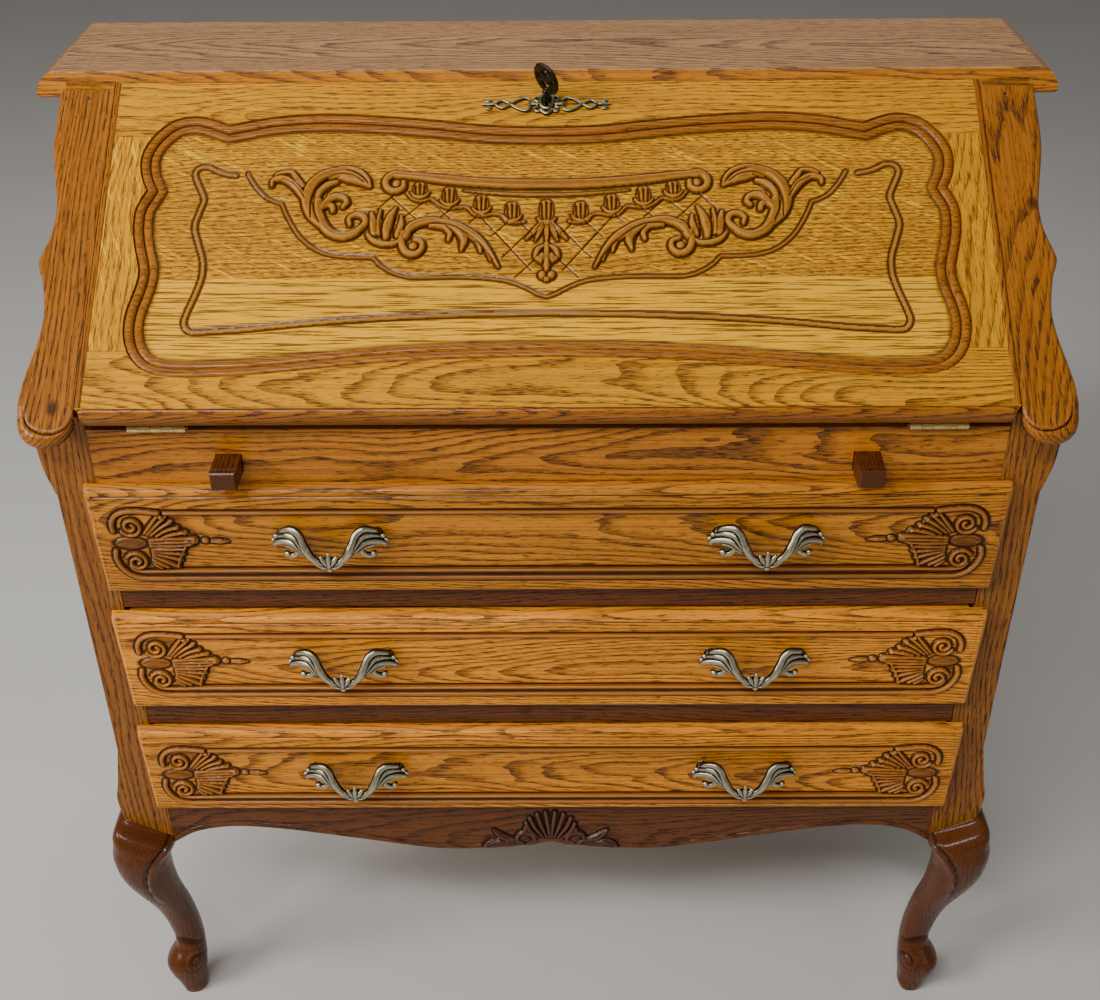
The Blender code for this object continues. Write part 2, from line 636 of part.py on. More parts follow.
def leaf(name, x, knuckles, plate, parent, origin):
    """Hinge leaf: a plate and its knuckles, bored for the pin, given about the pin's axis."""
    item = node(name, plate, BRIGHT_BRASS, parent, (x, *origin))
    for start, end in knuckles:
        barrel = cylinder("barrel", KNUCKLE_RADIUS, "X", (0, 0), start, end, 16)
        boolean(item, barrel, "UNION", location=(x, *origin))
    bore = cylinder("bore", PIN_RADIUS + 0.1, "X", (0, 0), -HINGE_LENGTH, HINGE_LENGTH, 16)
    boolean(item, bore, location=(x, *origin))


def butt_hinge(desk, hinge, side, sign):
    """Five-knuckle butt: one leaf on the fascia, one on the inside of the fall, and the pin."""
    x = sign * HINGE_X
    half = HINGE_LENGTH / 2
    pitch = HINGE_LENGTH / 5
    starts = [-half + pitch * i for i in range(5)]
    spans = [(start + 0.15, start + pitch - 0.15) for start in starts]
    base = -KNUCKLE_RADIUS - 0.1
    top = base + LEAF_THICKNESS
    fixed_plate = comb_plate("fixed", spans[0::2], half, 5.0, 23.0, base, top)
    leaf("hinge_fixed_leaf_" + side, x, spans[0::2], fixed_plate, desk, (PIN_Y, PIN_Z))
    moving_plate = comb_plate("moving", spans[1::2], half, 6.2, 26.0, -top, -base)
    leaf("hinge_moving_leaf_" + side, x, spans[1::2], moving_plate, hinge, (0, 0))
    node("hinge_pin_" + side, cylinder("pin", PIN_RADIUS, "X", (0, 0), -half - 0.5, half + 0.5, 14),
         BRIGHT_BRASS, desk, (x, PIN_Y, PIN_Z), smooth=True)


def comb_plate(name, spans, half, root, reach, low, high):
    """Plate with one finger reaching to the pin's line for each knuckle."""
    outline = [(-half, reach), (-half, root)]
    for start, end in spans:
        left, right = start + 0.3, end - 0.3
        outline += [(left, root), (left, 0.0), (right, 0.0), (right, root)]
    outline += [(half, root), (half, reach)]
    return prism(name, outline, "Z", low, high)


# --- interior ------------------------------------------------------------------------------------

def pigeonhole_unit(desk):
    """Glued-up unit that stands on the deck: two shelves and their partitions."""
    back = BACK_PANEL_Y - GAP
    half = UNIT_HALF
    shelf = box("shelf", (-half, UNIT_FRONT_Y, UNIT_SHELF_Z), (half, back, UNIT_SHELF_Z + UNIT_BOARD))
    unit = node("pigeonhole_unit", shelf, OAK_GOLD, desk)
    cap = box("cap", (-half, UNIT_UPPER_FRONT_Y, UNIT_TOP_Z), (half, back, UNIT_TOP_Z + UNIT_BOARD))
    boolean(unit, cap, "UNION")
    thick = UNIT_BOARD / 2
    lower = (UNIT_FRONT_Y + 2, DECK_Z + GAP, UNIT_SHELF_Z + 2)
    upper = (UNIT_UPPER_FRONT_Y + 2, UNIT_SHELF_Z + 2, UNIT_TOP_Z + 2)
    outside = half - thick
    walls = [(x, lower) for x in (-BAY_HALF, BAY_HALF)]
    walls += [(x, upper) for x in (-outside, -outside / 2, 0.0, outside / 2, outside)]
    for x, (front, low_z, high_z) in walls:
        boolean(unit, box("wall", (x - thick, front, low_z), (x + thick, back - 1, high_z)), "UNION")


def small_drawer(desk, side, sign):
    """Interior drawer with a turned knob."""
    low_x, high_x = sorted((sign * (BAY_HALF + 4.6), sign * (UNIT_HALF - 0.6)))
    middle = (low_x + high_x) / 2
    low_z, high_z = DECK_Z + 0.6, UNIT_SHELF_Z - 0.8
    front, back = UNIT_FRONT_Y + 1.5, 410.0
    slide = empty("small_drawer_slide_" + side, (middle, front, (low_z + high_z) / 2), desk)
    place = (-middle, -front, -(low_z + high_z) / 2)
    tray = node("small_drawer_" + side, box("tray", (low_x, front, low_z), (high_x, back, high_z)),
                OAK_GOLD, slide, place)
    hollow = box("hollow", (low_x + 7, front + 11, low_z + 6), (high_x - 7, back - 7, high_z + 20))
    boolean(tray, hollow, location=place)
    rings = []
    for radius, reach in ((3.6, 0.0), (3.2, 4.0), (6.5, 8.0), (7.2, 11.0), (5.4, 14.0), (1.5, 15.5)):
        rings.append([(px, -GAP - reach, pz) for px, pz in arc((0, 0), radius, 0, 360, 12)[:-1]])
    node("small_knob_" + side, loft("knob", rings), ANTIQUE_BRASS, slide, smooth=True)


# --- assembly ------------------------------------------------------------------------------------

def build():
    clear_scene()
    desk = empty("desk", (0, -FRONT_TO_CENTRE, FLOOR))
    slope = empty("slope", (0, SLOPE_Y, SLOPE_Z), desk, SLOPE)
    hinge = empty("fall_hinge", (0, PIN_Y, PIN_Z), desk, SLOPE)

    top_board(desk, slope)
    top_rail(desk, slope)
    back_panel(desk)
    writing_deck(desk)
    fascia(desk)
    divider(desk, "divider_upper", DRAWERS["middle"][3], DRAWERS["upper"][2])
    divider(desk, "divider_lower", DRAWERS["lower"][3], DRAWERS["middle"][2])
    apron(desk)
    for side, sign in (("left", -1), ("right", 1)):
        side_panel(desk, side, sign)
        wing(slope, desk, side, sign)
        front_post(desk, side, sign)
        rear_post(desk, side, sign)
        leg(desk, "front_leg_" + side, sign, rear=False)
        leg(desk, "rear_leg_" + side, sign, rear=True)
        loper_guide(desk, side, sign)
        loper(desk, side, sign)
        butt_hinge(desk, hinge, side, sign)
        small_drawer(desk, side, sign)
    for name, sizes in DRAWERS.items():
        drawer(desk, name, *sizes)
        runner_frame(desk, "runner_frame_" + name, sizes[2])
    rail = fall(hinge)
    lock(hinge, rail)
    pigeonhole_unit(desk)


build()
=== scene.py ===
"""Looks of the fall-front secretary desk: carving, mouldings, cast fittings, oak and brass.

Outlines are in millimetres in two flat frames.  FRONT has x across, y up and z out of the drawer fronts.
SLOPED has x across, y up the slope and z out of the closed fall.
"""
import math

import bmesh
import bpy
import numpy as np
from mathutils import Euler, Matrix, Vector


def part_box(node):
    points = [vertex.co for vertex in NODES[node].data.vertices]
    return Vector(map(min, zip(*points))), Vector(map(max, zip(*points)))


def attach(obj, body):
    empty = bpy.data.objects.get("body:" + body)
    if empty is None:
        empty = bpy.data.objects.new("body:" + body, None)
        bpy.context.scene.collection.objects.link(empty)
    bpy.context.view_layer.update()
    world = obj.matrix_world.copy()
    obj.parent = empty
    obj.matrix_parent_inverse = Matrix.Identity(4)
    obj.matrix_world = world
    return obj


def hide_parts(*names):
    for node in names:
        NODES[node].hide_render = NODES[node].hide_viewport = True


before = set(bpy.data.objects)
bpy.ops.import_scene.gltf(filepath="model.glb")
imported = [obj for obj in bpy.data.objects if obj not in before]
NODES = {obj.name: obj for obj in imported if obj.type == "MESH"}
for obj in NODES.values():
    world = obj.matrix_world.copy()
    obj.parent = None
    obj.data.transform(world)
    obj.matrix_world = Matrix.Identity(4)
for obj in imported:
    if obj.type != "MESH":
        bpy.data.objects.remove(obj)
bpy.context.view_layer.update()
MM = 0.001

# --- frames --------------------------------------------------------------------------------------
SLOPE = math.radians(34.5)
FRONT_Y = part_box("drawer_front_upper")[0].y          # plane of the drawer fronts, metres
SLOPE_ORIGIN = Vector((0.0, FRONT_Y - 0.005, 0.8128))
FRONT = Matrix(((1, 0, 0, 0), (0, 0, -1, FRONT_Y), (0, 1, 0, 0), (0, 0, 0, 1)))
SLOPED = Matrix.Translation(SLOPE_ORIGIN) @ Matrix.Rotation(SLOPE, 4, "X")
LEVEL = Matrix.Translation((0, FRONT_Y, 0))          # x across, y back from the drawer fronts, z up

PANEL_LEVEL = -4.0                # the carved panel lies this far under the fall's frame
KEY_S = 321.0                     # the key's place up the slope
SIDES = (("left", -1), ("right", 1))
WHOLE = (slice(None), slice(None))                   # the whole of a grid


# --- meshes --------------------------------------------------------------------------------------

def piece(name, verts, faces, place, body, material, replaces=(), sharp=38.0, extra=None):
    """One mesh object, given in millimetres in the frame `place`, riding on a body."""
    mesh = bpy.data.meshes.new(name)
    mesh.from_pydata([tuple(v) for v in np.asarray(verts, float) * MM], [], faces)
    for key, values in (extra or {}).items():
        attribute = mesh.attributes.new(key, "FLOAT", "POINT")
        attribute.data.foreach_set("value", np.asarray(values, np.float32).ravel())
    outward(mesh)
    return placed(name, mesh, place, body, material, replaces, sharp)


def outward(mesh):
    bm = bmesh.new()
    bm.from_mesh(mesh)
    bmesh.ops.recalc_face_normals(bm, faces=bm.faces)
    bm.to_mesh(mesh)
    bm.free()


def placed(name, mesh, place, body, material, replaces=(), sharp=38.0):
    if not mesh.materials:
        mesh.shade_smooth()
        mesh.set_sharp_from_angle(angle=math.radians(sharp))
        mesh.materials.append(material)
    item = bpy.data.objects.new(name, mesh)
    bpy.context.scene.collection.objects.link(item)
    item.matrix_world = place
    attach(item, body)
    if replaces:
        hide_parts(*replaces)
    return item


def curve_through(points, steps=8, closed=False):
    """Catmull-Rom curve through 2D or 3D points."""
    pts = np.asarray(points, float)
    if closed:
        pts = np.vstack([pts[-1:], pts, pts[:2]])
    else:
        pts = np.vstack([2 * pts[:1] - pts[1:2], pts, 2 * pts[-1:] - pts[-2:-1]])
    t = np.arange(steps)[:, None] / steps
    line = []
    for i in range(1, len(pts) - 2):
        a, b, c, d = pts[i - 1:i + 3]
        line.append(0.5 * (2 * b + (c - a) * t + (2 * a - 5 * b + 4 * c - d) * t ** 2
                           + (3 * b - 3 * c + d - a) * t ** 3))
    if not closed:
        line.append(pts[-2:-1])
    return np.vstack(line)


def arc(cx, cy, r, start, end, steps=12, ry=None):
    angles = np.radians(np.linspace(start, end, steps + 1))
    return np.stack([cx + r * np.cos(angles), cy + (r if ry is None else ry) * np.sin(angles)], 1)


def mirrored(points):
    """Close an outline over x = 0; its first and last points lie on the axis."""
    pts = np.asarray(points, float)
    return np.vstack([pts, pts[-2:0:-1] * (-1, 1)])


def mitred(path):
    """Left-hand normals of a closed path, lengthened at its corners."""
    pts = np.asarray(path, float)
    ahead = np.roll(pts, -1, 0) - pts
    ahead /= np.linalg.norm(ahead, axis=1)[:, None]
    behind = np.roll(ahead, 1, 0)
    n0 = np.stack([-behind[:, 1], behind[:, 0]], 1)
    n1 = np.stack([-ahead[:, 1], ahead[:, 0]], 1)
    return (n0 + n1) / np.maximum(1 + (n0 * n1).sum(1), 0.45)[:, None]


def sweep(path, profile):
    """Moulding: profile points (to the left, height) carried round a closed flat path."""
    pts, normals = np.asarray(path, float), mitred(path)
    prof = np.asarray(profile, float)
    count, sides = len(pts), len(prof)
    verts = np.zeros((count, sides, 3))
    verts[:, :, :2] = pts[:, None, :] + normals[:, None, :] * prof[None, :, :1]
    verts[:, :, 2] = prof[None, :, 1]
    return verts.reshape(-1, 3), tube_faces(count, sides, True)


def tube_faces(count, sides, closed):
    faces = []
    for i in range(count if closed else count - 1):
        j = (i + 1) % count
        for k in range(sides):
            m = (k + 1) % sides
            faces.append((i * sides + k, i * sides + m, j * sides + m, j * sides + k))
    if not closed:
        faces.append(tuple(range(sides)))
        faces.append(tuple(range((count - 1) * sides, count * sides)))
    return faces


def tube(path, radius, sides=10, flat=1.0, closed=False):
    """Round or flattened bar along a 3D path; its radius may vary along it."""
    pts = np.asarray(path, float)
    count = len(pts)
    where = np.linspace(0, 1, count)
    radii = np.interp(where, np.linspace(0, 1, np.size(radius)), np.atleast_1d(radius))
    ahead = np.roll(pts, -1, 0) - np.roll(pts, 1, 0) if closed else np.gradient(pts, axis=0)
    ahead /= np.linalg.norm(ahead, axis=1)[:, None] + 1e-12
    side = np.cross(ahead, (0.0, 0.0, 1.0))
    side /= np.linalg.norm(side, axis=1)[:, None] + 1e-9
    up = np.cross(side, ahead)
    angles = 2 * np.pi * np.arange(sides) / sides
    ring = (np.cos(angles)[None, :, None] * side[:, None, :]
            + flat * np.sin(angles)[None, :, None] * up[:, None, :])
    verts = pts[:, None, :] + radii[:, None, None] * ring
    return verts.reshape(-1, 3), tube_faces(count, sides, closed)


def ball(centre, radius, squash=(1, 1, 1)):
    rows, sides = 8, 12
    angles = np.pi * np.arange(1, rows) / rows
    turns = 2 * np.pi * np.arange(sides) / sides
    verts = np.stack([np.outer(np.sin(angles), np.cos(turns)), np.outer(np.sin(angles), np.sin(turns)),
                      np.outer(np.cos(angles), np.ones(sides))], 2).reshape(-1, 3)
    return np.asarray(centre) + radius * verts * np.asarray(squash), tube_faces(rows - 1, sides, False)


def merged(parts):
    verts, faces, base = [], [], 0
    for v, f in parts:
        verts.append(np.asarray(v, float))
        faces += [tuple(i + base for i in face) for face in f]
        base += len(v)
    return np.vstack(verts), faces


def cast_mesh(name, parts, voxel, material, smooth=2, reach=3, contrast=0.5, flank_shade=0.0):
    """Run separate closed shapes together into one cast skin."""
    verts, faces = merged(parts)
    mesh = bpy.data.meshes.new(name)
    mesh.from_pydata([tuple(v) for v in verts * MM], [], faces)
    outward(mesh)
    item = bpy.data.objects.new(name, mesh)
    bpy.context.scene.collection.objects.link(item)
    remesh = item.modifiers.new("skin", "REMESH")
    remesh.mode = "VOXEL"
    remesh.voxel_size = voxel * MM
    relax = item.modifiers.new("relax", "SMOOTH")
    relax.factor = 0.5
    relax.iterations = smooth
    result = bpy.data.meshes.new_from_object(item.evaluated_get(bpy.context.evaluated_depsgraph_get()))
    bpy.data.objects.remove(item)
    result.name = name
    add_cavity(result, reach, contrast, flank_shade)
    result.shade_smooth()
    result.materials.clear()
    result.materials.append(material)
    return result


def add_cavity(mesh, reach, contrast, flank_shade):
    """Store how far each point stands out of, or sinks into, its neighbourhood (0.5 is level).

    Surfaces turned away from the front (+Z) are lowered by up to the flank shade amount: painted shade on
    sides turned from the light.
    """
    count = len(mesh.vertices)
    co = np.zeros(count * 3)
    mesh.vertices.foreach_get("co", co)
    co = co.reshape(-1, 3)
    normal = np.zeros(count * 3)
    mesh.vertices.foreach_get("normal", normal)
    normal = normal.reshape(-1, 3)
    edges = np.zeros(len(mesh.edges) * 2, int)
    mesh.edges.foreach_get("vertices", edges)
    edges = edges.reshape(-1, 2)
    degree = np.bincount(edges.ravel(), minlength=count)[:, None]
    mean = co.copy()
    for _ in range(reach):
        total = np.zeros_like(mean)
        np.add.at(total, edges[:, 0], mean[edges[:, 1]])
        np.add.at(total, edges[:, 1], mean[edges[:, 0]])
        mean = 0.5 * mean + 0.5 * total / np.maximum(degree, 1)
    rise = ((co - mean) * normal).sum(1) / MM
    # sides turned away from the front lowered: painted shade
    level = 0.5 + rise / contrast - flank_shade * (1 - np.clip(normal[:, 2], 0, 1))
    attribute = mesh.attributes.new("cavity", "FLOAT", "POINT")
    attribute.data.foreach_set("value", np.clip(level, 0, 1).astype(np.float32))


# --- relief carving ------------------------------------------------------------------------------

class Relief:
    """A carved surface: heights over a grid, raised and cut by strokes drawn in millimetres."""

    AVERAGING = 12                # rounds that spread a height over its neighbourhood

    def __init__(self, x, y, level):
        self.x, self.y = x, y
        self.height = level.copy()
        self.raised = np.zeros_like(x)
        self.near = np.full(x.shape, 99.0)
        # painted shade, with some staining, laid over the cavity (set on the fall's panel)
        self.shade_and_stain = 0.0

    def window(self, pts, reach):
        pts = np.asarray(pts)
        low, high = pts.min(0) - reach, pts.max(0) + reach
        inside = (self.x > low[0]) & (self.x < high[0]) & (self.y > low[1]) & (self.y < high[1])
        rows, cols = np.where(inside.any(1))[0], np.where(inside.any(0))[0]
        if not len(rows):
            return slice(0, 0), slice(0, 0)
        return slice(rows[0], rows[-1] + 1), slice(cols[0], cols[-1] + 1)

    def nearest(self, pts, window=WHOLE):
        """Distance to a line and the place (0 to 1) along it of its nearest point."""
        px, py = self.x[window], self.y[window]
        best = np.full(px.shape, 1e9)
        where = np.zeros_like(px)
        lengths = np.linalg.norm(np.diff(pts, axis=0), axis=1)
        start = np.concatenate([[0], np.cumsum(lengths)])
        for i, length in enumerate(lengths):
            dx, dy = (pts[i + 1] - pts[i]) / max(length, 1e-9)
            t = np.clip((px - pts[i][0]) * dx + (py - pts[i][1]) * dy, 0, length)
            d = np.hypot(px - pts[i][0] - t * dx, py - pts[i][1] - t * dy)
            closer = d < best
            best = np.where(closer, d, best)
            where = np.where(closer, (start[i] + t) / start[-1], where)
        return best, where

    def stroke(self, points, width, height, steps=6):
        """Raise a rounded bar; half width and height are one value or values spread along it."""
        line = curve_through(points, steps)
        window = self.window(line, np.max(width) + 6)
        d, t = self.nearest(line, window)
        w = np.interp(t, np.linspace(0, 1, np.size(width)), np.atleast_1d(width))
        h = np.interp(t, np.linspace(0, 1, np.size(height)), np.atleast_1d(height))
        u = np.clip(d / w, 0, 1)
        bar = np.where(u < 1, h * np.sqrt(1 - u ** 2.4), 0)
        self.raised[window] = np.maximum(self.raised[window], bar)
        self.near[window] = np.minimum(self.near[window], d - w)

    def lump(self, cx, cy, rx, ry, height):
        """Raise an oval boss."""
        window = self.window([(cx, cy)], max(rx, ry) + 6)
        u = np.hypot((self.x[window] - cx) / rx, (self.y[window] - cy) / ry)
        boss = height * np.sqrt(np.clip(1 - u ** 2.2, 0, 1))
        self.raised[window] = np.maximum(self.raised[window], boss)
        self.near[window] = np.minimum(self.near[window], (u - 1) * min(rx, ry))

    def cut(self, points, width, depth, steps=6):
        """Cut a groove."""
        line = curve_through(points, steps)
        window = self.window(line, width * 3 + 1)
        d, _ = self.nearest(line, window)
        self.height[window] -= depth * np.exp(-(d / width) ** 2)

    def heights(self, sink=0.9, halo=2.0):
        """Carving over a ground that is sunk a little round it."""
        ground = self.height - sink * np.exp(-(np.maximum(self.near, 0) / halo) ** 2)
        return ground + np.where(self.raised > 0, self.raised + sink, 0)

    def marks(self, heights):
        """Cavity (0 sunk, 0.5 level, 1 proud), lowered by painted shade in a band round the carving and along
        a field's edge, and how far the point belongs to the carving.
        """
        soft = heights.copy()
        for _ in range(self.AVERAGING):
            padded = np.pad(soft, 1, mode="reflect", reflect_type="odd")
            soft = (padded[:-2, 1:-1] + padded[2:, 1:-1] + padded[1:-1, :-2] + padded[1:-1, 2:]
                    + 2 * soft) / 6
        away = self.near - 0.2
        # a dark band just round the carving: painted shade at its foot, with lodged residues
        residue_and_edge_shade = 0.40 * np.exp(-(away / np.where(away > 0, 1.9, 0.8)) ** 2)
        cavity = np.clip(0.5 + (heights - soft) / 1.1 - residue_and_edge_shade - self.shade_and_stain, 0, 1)
        return {"cavity": cavity, "carved": np.clip(1 - self.near / 3.2, 0, 1)}


class Pen:
    """Draws on both halves of a relief at once, from outlines given for one half."""

    def __init__(self, relief, scale=1.0, lift=0.0, steps=6, sides=(-1, 1)):
        self.relief, self.scale, self.lift, self.steps, self.sides = relief, scale, lift, steps, sides

    def single(self):
        """A pen that draws an outline once, where it is given."""
        return Pen(self.relief, self.scale, self.lift, self.steps, (1,))

    def placed(self, points):
        scale, lift = self.scale, self.lift
        return [[(side * x * scale, y * scale + lift) for x, y in points] for side in self.sides]

    def bar(self, points, width, height, steps=None):
        for line in self.placed(points):
            self.relief.stroke(line, width, height, steps or self.steps)

    def vein(self, points, width=0.8, depth=1.8, steps=6):
        for line in self.placed(points):
            self.relief.cut(line, width, depth, steps)

    def boss(self, x, y, rx, ry, height):
        for line in self.placed([(x, y)]):
            self.relief.lump(*line[0], rx, ry, height)


def slab(x, y, z, floor, undercut=None):
    """Closed block whose top is a grid of points and whose underside is flat; undercut draws in its foot."""
    rows, cols = x.shape
    top = np.stack([x, y, z], 2).reshape(-1, 3)
    index = np.arange(rows * cols).reshape(rows, cols)
    quads = np.stack([index[:-1, :-1], index[:-1, 1:], index[1:, 1:], index[1:, :-1]], 2).reshape(-1, 4)
    faces = [tuple(f) for f in quads.tolist()]
    rim = np.concatenate([index[0, :-1], index[:-1, -1], index[-1, :0:-1], index[:0:-1, 0]]).tolist()
    under = top[rim].copy()
    under[:, 2] = floor
    if undercut:
        under[:, :2] = undercut(under[:, :2])
    base, count = rows * cols, len(rim)
    for i in range(count):
        j = (i + 1) % count
        faces.append((rim[i], base + i, base + j, rim[j]))
    faces.append(tuple(range(base + count - 1, base - 1, -1)))
    return np.vstack([top, under]), faces


def relief_piece(name, relief, place, body, material, replaces, floor, heights=None, more=(),
                 undercut=None):
    """A closed block with the relief on top; `more` adds plain solids to it."""
    heights = relief.heights() if heights is None else heights
    verts, faces = merged([slab(relief.x, relief.y, heights, floor, undercut)] + list(more))
    plain = {"cavity": 0.5, "carved": 0.0}
    extra = {}
    for key, values in relief.marks(heights).items():
        extra[key] = np.concatenate([values.ravel(), np.full(len(verts) - values.size, plain[key])])
    return piece(name, verts, faces, place, body, material, replaces, extra=extra)


def spaced(stops):
    """Grid positions from (position, step) stops: each step is used up to the next stop."""
    out = []
    for (a, step), (b, _) in zip(stops, stops[1:]):
        out.append(np.linspace(a, b, max(int(round((b - a) / step)), 1), endpoint=False))
    return np.concatenate(out + [[stops[-1][0]]])


# --- materials -----------------------------------------------------------------------------------

class Shader:
    """Small helper that adds shader nodes to a material and links them."""

    def __init__(self, material):
        self.material = material
        material.use_nodes = True
        self.tree = material.node_tree
        self.principled = self.tree.nodes["Principled BSDF"]

    def set(self, node, inputs):
        for key, value in inputs.items():
            if isinstance(value, bpy.types.NodeSocket):
                self.tree.links.new(value, node.inputs[key])
            else:
                node.inputs[key].default_value = value

    def add(self, kind, inputs=None, **settings):
        node = self.tree.nodes.new("ShaderNode" + kind)
        for key, value in settings.items():
            setattr(node, key, value)
        self.set(node, inputs or {})
        return node

    def math(self, operation, a, b=0.0, c=0.0):
        return self.add("Math", {0: a, 1: b, 2: c}, operation=operation).outputs[0]

    def mix(self, factor, a, b, blend="MIX"):
        node = self.add("Mix", {0: factor, 6: a, 7: b}, data_type="RGBA", blend_type=blend)
        return node.outputs[2]

    def step(self, value, low, high):
        """Smooth 0 to 1 between two values."""
        return self.add("MapRange", {0: value, 1: low, 2: high, 3: 0.0, 4: 1.0},
                        interpolation_type="SMOOTHSTEP").outputs[0]

    def noise(self, vector, stretch, detail=2.0, rough=0.5, turn=(0, 0, 0)):
        if turn != (0, 0, 0):
            vector = self.add("Mapping", {"Vector": vector, "Rotation": turn}).outputs[0]
        fitted = self.add("Mapping", {"Vector": vector, "Scale": stretch}).outputs[0]
        return self.add("TexNoise", {"Vector": fitted, "Scale": 1.0, "Detail": detail, "Roughness": rough})

    def attribute(self, name):
        return self.add("Attribute", attribute_name=name, attribute_type="GEOMETRY").outputs["Fac"]


def tint(color, gain=1.0):
    return tuple(min(c * gain, 1.0) for c in color) + (1.0,)


def rubbed_and_lit_edge(color):
    """Paler, slightly pinker wood where an edge is rubbed and where it catches the light: wear with a painted
    highlight.
    """
    red, green, blue = color
    return (red * 0.95 + 0.03, green * 0.95 + 0.03, blue + 0.035, 1.0)


TURNS = {"X": (0, 0, 0), "Y": (0, 0, -math.pi / 2), "Z": (0, math.pi / 2, 0)}


def oak(name, light, dark, grain="X", tilt=0.0, seed=0, pith=(0.0, 0.0, 0.5), lean=(0.0, 0.04, 0.03),
        figure=0.35, rings=115.0, flecks=0.0, fleck_turn=0.5, carved=False, gloss=0.38, tone=0.2,
        pore_depth=0.85, pore=(70, 1050), pore_level=0.58, seam=None, front=None):
    """Oak with its grain along one axis: growth rings about a pith, open pores gathered in them and rays.

    A carved piece is darker over its carving, with painted shade and some staining in its recesses and paler
    proud edges, rubbed and with a painted highlight.  Below a seam (along the second axis) lies a board of
    coarser grain.  Below a height,
    `front` gives the colours of the edge; on the top board the colours above that height carry a painted grey
    sheen.
    """
    n = Shader(bpy.data.materials.new(name))
    coords = n.add("TexCoord").outputs["Object"]
    turn = (-tilt, 0, TURNS[grain][2]) if tilt else TURNS[grain]
    board = n.add("Mapping", {"Vector": coords, "Rotation": turn}).outputs[0]
    own = n.add("Mapping", {"Vector": board, "Location": (0.73 * seed, 0.31 * seed, 0.17 * seed)}).outputs[0]

    warped = board
    for stretch, reach in (((2.2, 8, 8), 0.04), ((11, 70, 70), 0.0035)):
        wander = n.noise(own, stretch, 2.0, 0.5).outputs["Color"]
        centred = n.add("VectorMath", {0: wander, 1: (0.5, 0.5, 0.5)}, operation="SUBTRACT").outputs[0]
        shift = n.add("VectorMath", {0: centred, 1: (0.0, reach, reach)}, operation="MULTIPLY").outputs[0]
        warped = n.add("VectorMath", {0: warped, 1: shift}, operation="ADD").outputs[0]
    heart = Euler(lean).to_matrix() @ (Euler(turn).to_matrix() @ Vector(pith))
    log = n.add("Mapping", {"Vector": warped, "Rotation": lean, "Location": -heart}).outputs[0]
    ring = n.add("TexWave", {"Vector": log, "Scale": rings, "Distortion": 0.0}, wave_type="RINGS",
                 rings_direction="X", wave_profile="SAW").outputs["Fac"]
    late = n.step(ring, 0.40, 0.95)

    streak = n.noise(own, (5, 420, 420), 3.0, 0.6).outputs[0]
    fine = n.noise(own, (pore[0], pore[1], pore[1]), 2.0, 0.6).outputs[0]
    patch = n.noise(own, (2.5, 14, 14)).outputs[0]
    pores = n.step(n.math("MULTIPLY_ADD", late, 0.12, fine), pore_level, pore_level + 0.09)
    if seam is not None:
        coarse = n.step(n.noise(own, (17, 640, 640), 3.0, 0.65).outputs[0], 0.50, 0.57)
        height = n.add("SeparateXYZ", {0: board}).outputs[1]
        below = n.step(height, seam + 0.0004, seam - 0.0004)
        pores = n.add("Mix", {0: below, 2: pores, 3: coarse}, data_type="FLOAT").outputs[0]

    pale, deep = tint(light), tint(dark)
    if front:
        # below the level, the edge's own colours; above it, the given colours (on the top board, with a
        # painted sheen)
        level, edge_colors = front
        edge = n.step(n.add("SeparateXYZ", {0: coords}).outputs[2], level, level - 0.0012)
        pale, deep = n.mix(edge, pale, tint(edge_colors[0])), n.mix(edge, deep, tint(edge_colors[1]))
    color = n.mix(n.math("MULTIPLY", late, figure), pale, deep)
    color = n.mix(n.math("MULTIPLY", n.step(streak, 0.40, 0.68), 0.45), color, deep)
    if flecks:
        rays = n.noise(own, (22, 330, 330), 1.0, 0.5, (0, 0, fleck_turn)).outputs[0]
        ray = n.math("MULTIPLY", n.step(rays, 0.60, 0.68), n.step(patch, 0.30, 0.55))
        if seam is not None:
            ray = n.math("MULTIPLY", ray, n.math("SUBTRACT", 1.0, below))
            color = n.mix(n.math("MULTIPLY", below, 0.85), color, tint(light, 1.5))
        color = n.mix(n.math("MULTIPLY", ray, flecks), color, tint(light, 1.7))
    color = n.mix(n.math("MULTIPLY", pores, pore_depth), color, tint(dark, 0.30))
    shade = n.math("MULTIPLY_ADD", patch, 2 * tone, 1.0 - tone)
    gray = n.add("CombineColor", {0: shade, 1: shade, 2: shade}).outputs[0]
    color = n.mix(1.0, color, gray, "MULTIPLY")
    if carved:
        cavity, belongs = n.attribute("cavity"), n.attribute("carved")
        color = n.mix(n.math("MULTIPLY", belongs, 0.8), color, tint(dark, 0.95))
        # proud points paler and pinker: rubbed wear with a painted highlight
        color = n.mix(n.math("MULTIPLY", n.step(cavity, 0.70, 1.0), 0.38), color, rubbed_and_lit_edge(light))
        # recesses darkened: painted shade, with some staining lodged there
        color = n.mix(n.math("MULTIPLY", n.step(cavity, 0.49, 0.08), 0.93), color, tint(dark, 0.24))
    rough = n.math("MULTIPLY_ADD", pores, 0.25, gloss)
    relief = n.math("MULTIPLY_ADD", streak, 0.3, n.math("MULTIPLY", pores, -1.0))
    bump = n.add("Bump", {"Height": relief, "Strength": 0.4, "Distance": 0.0003}).outputs[0]
    n.set(n.principled, {"Base Color": color, "Roughness": rough, "Normal": bump, "Coat Weight": 0.2,
                         "Coat Roughness": 0.13, "Specular IOR Level": 0.2})
    return n.material


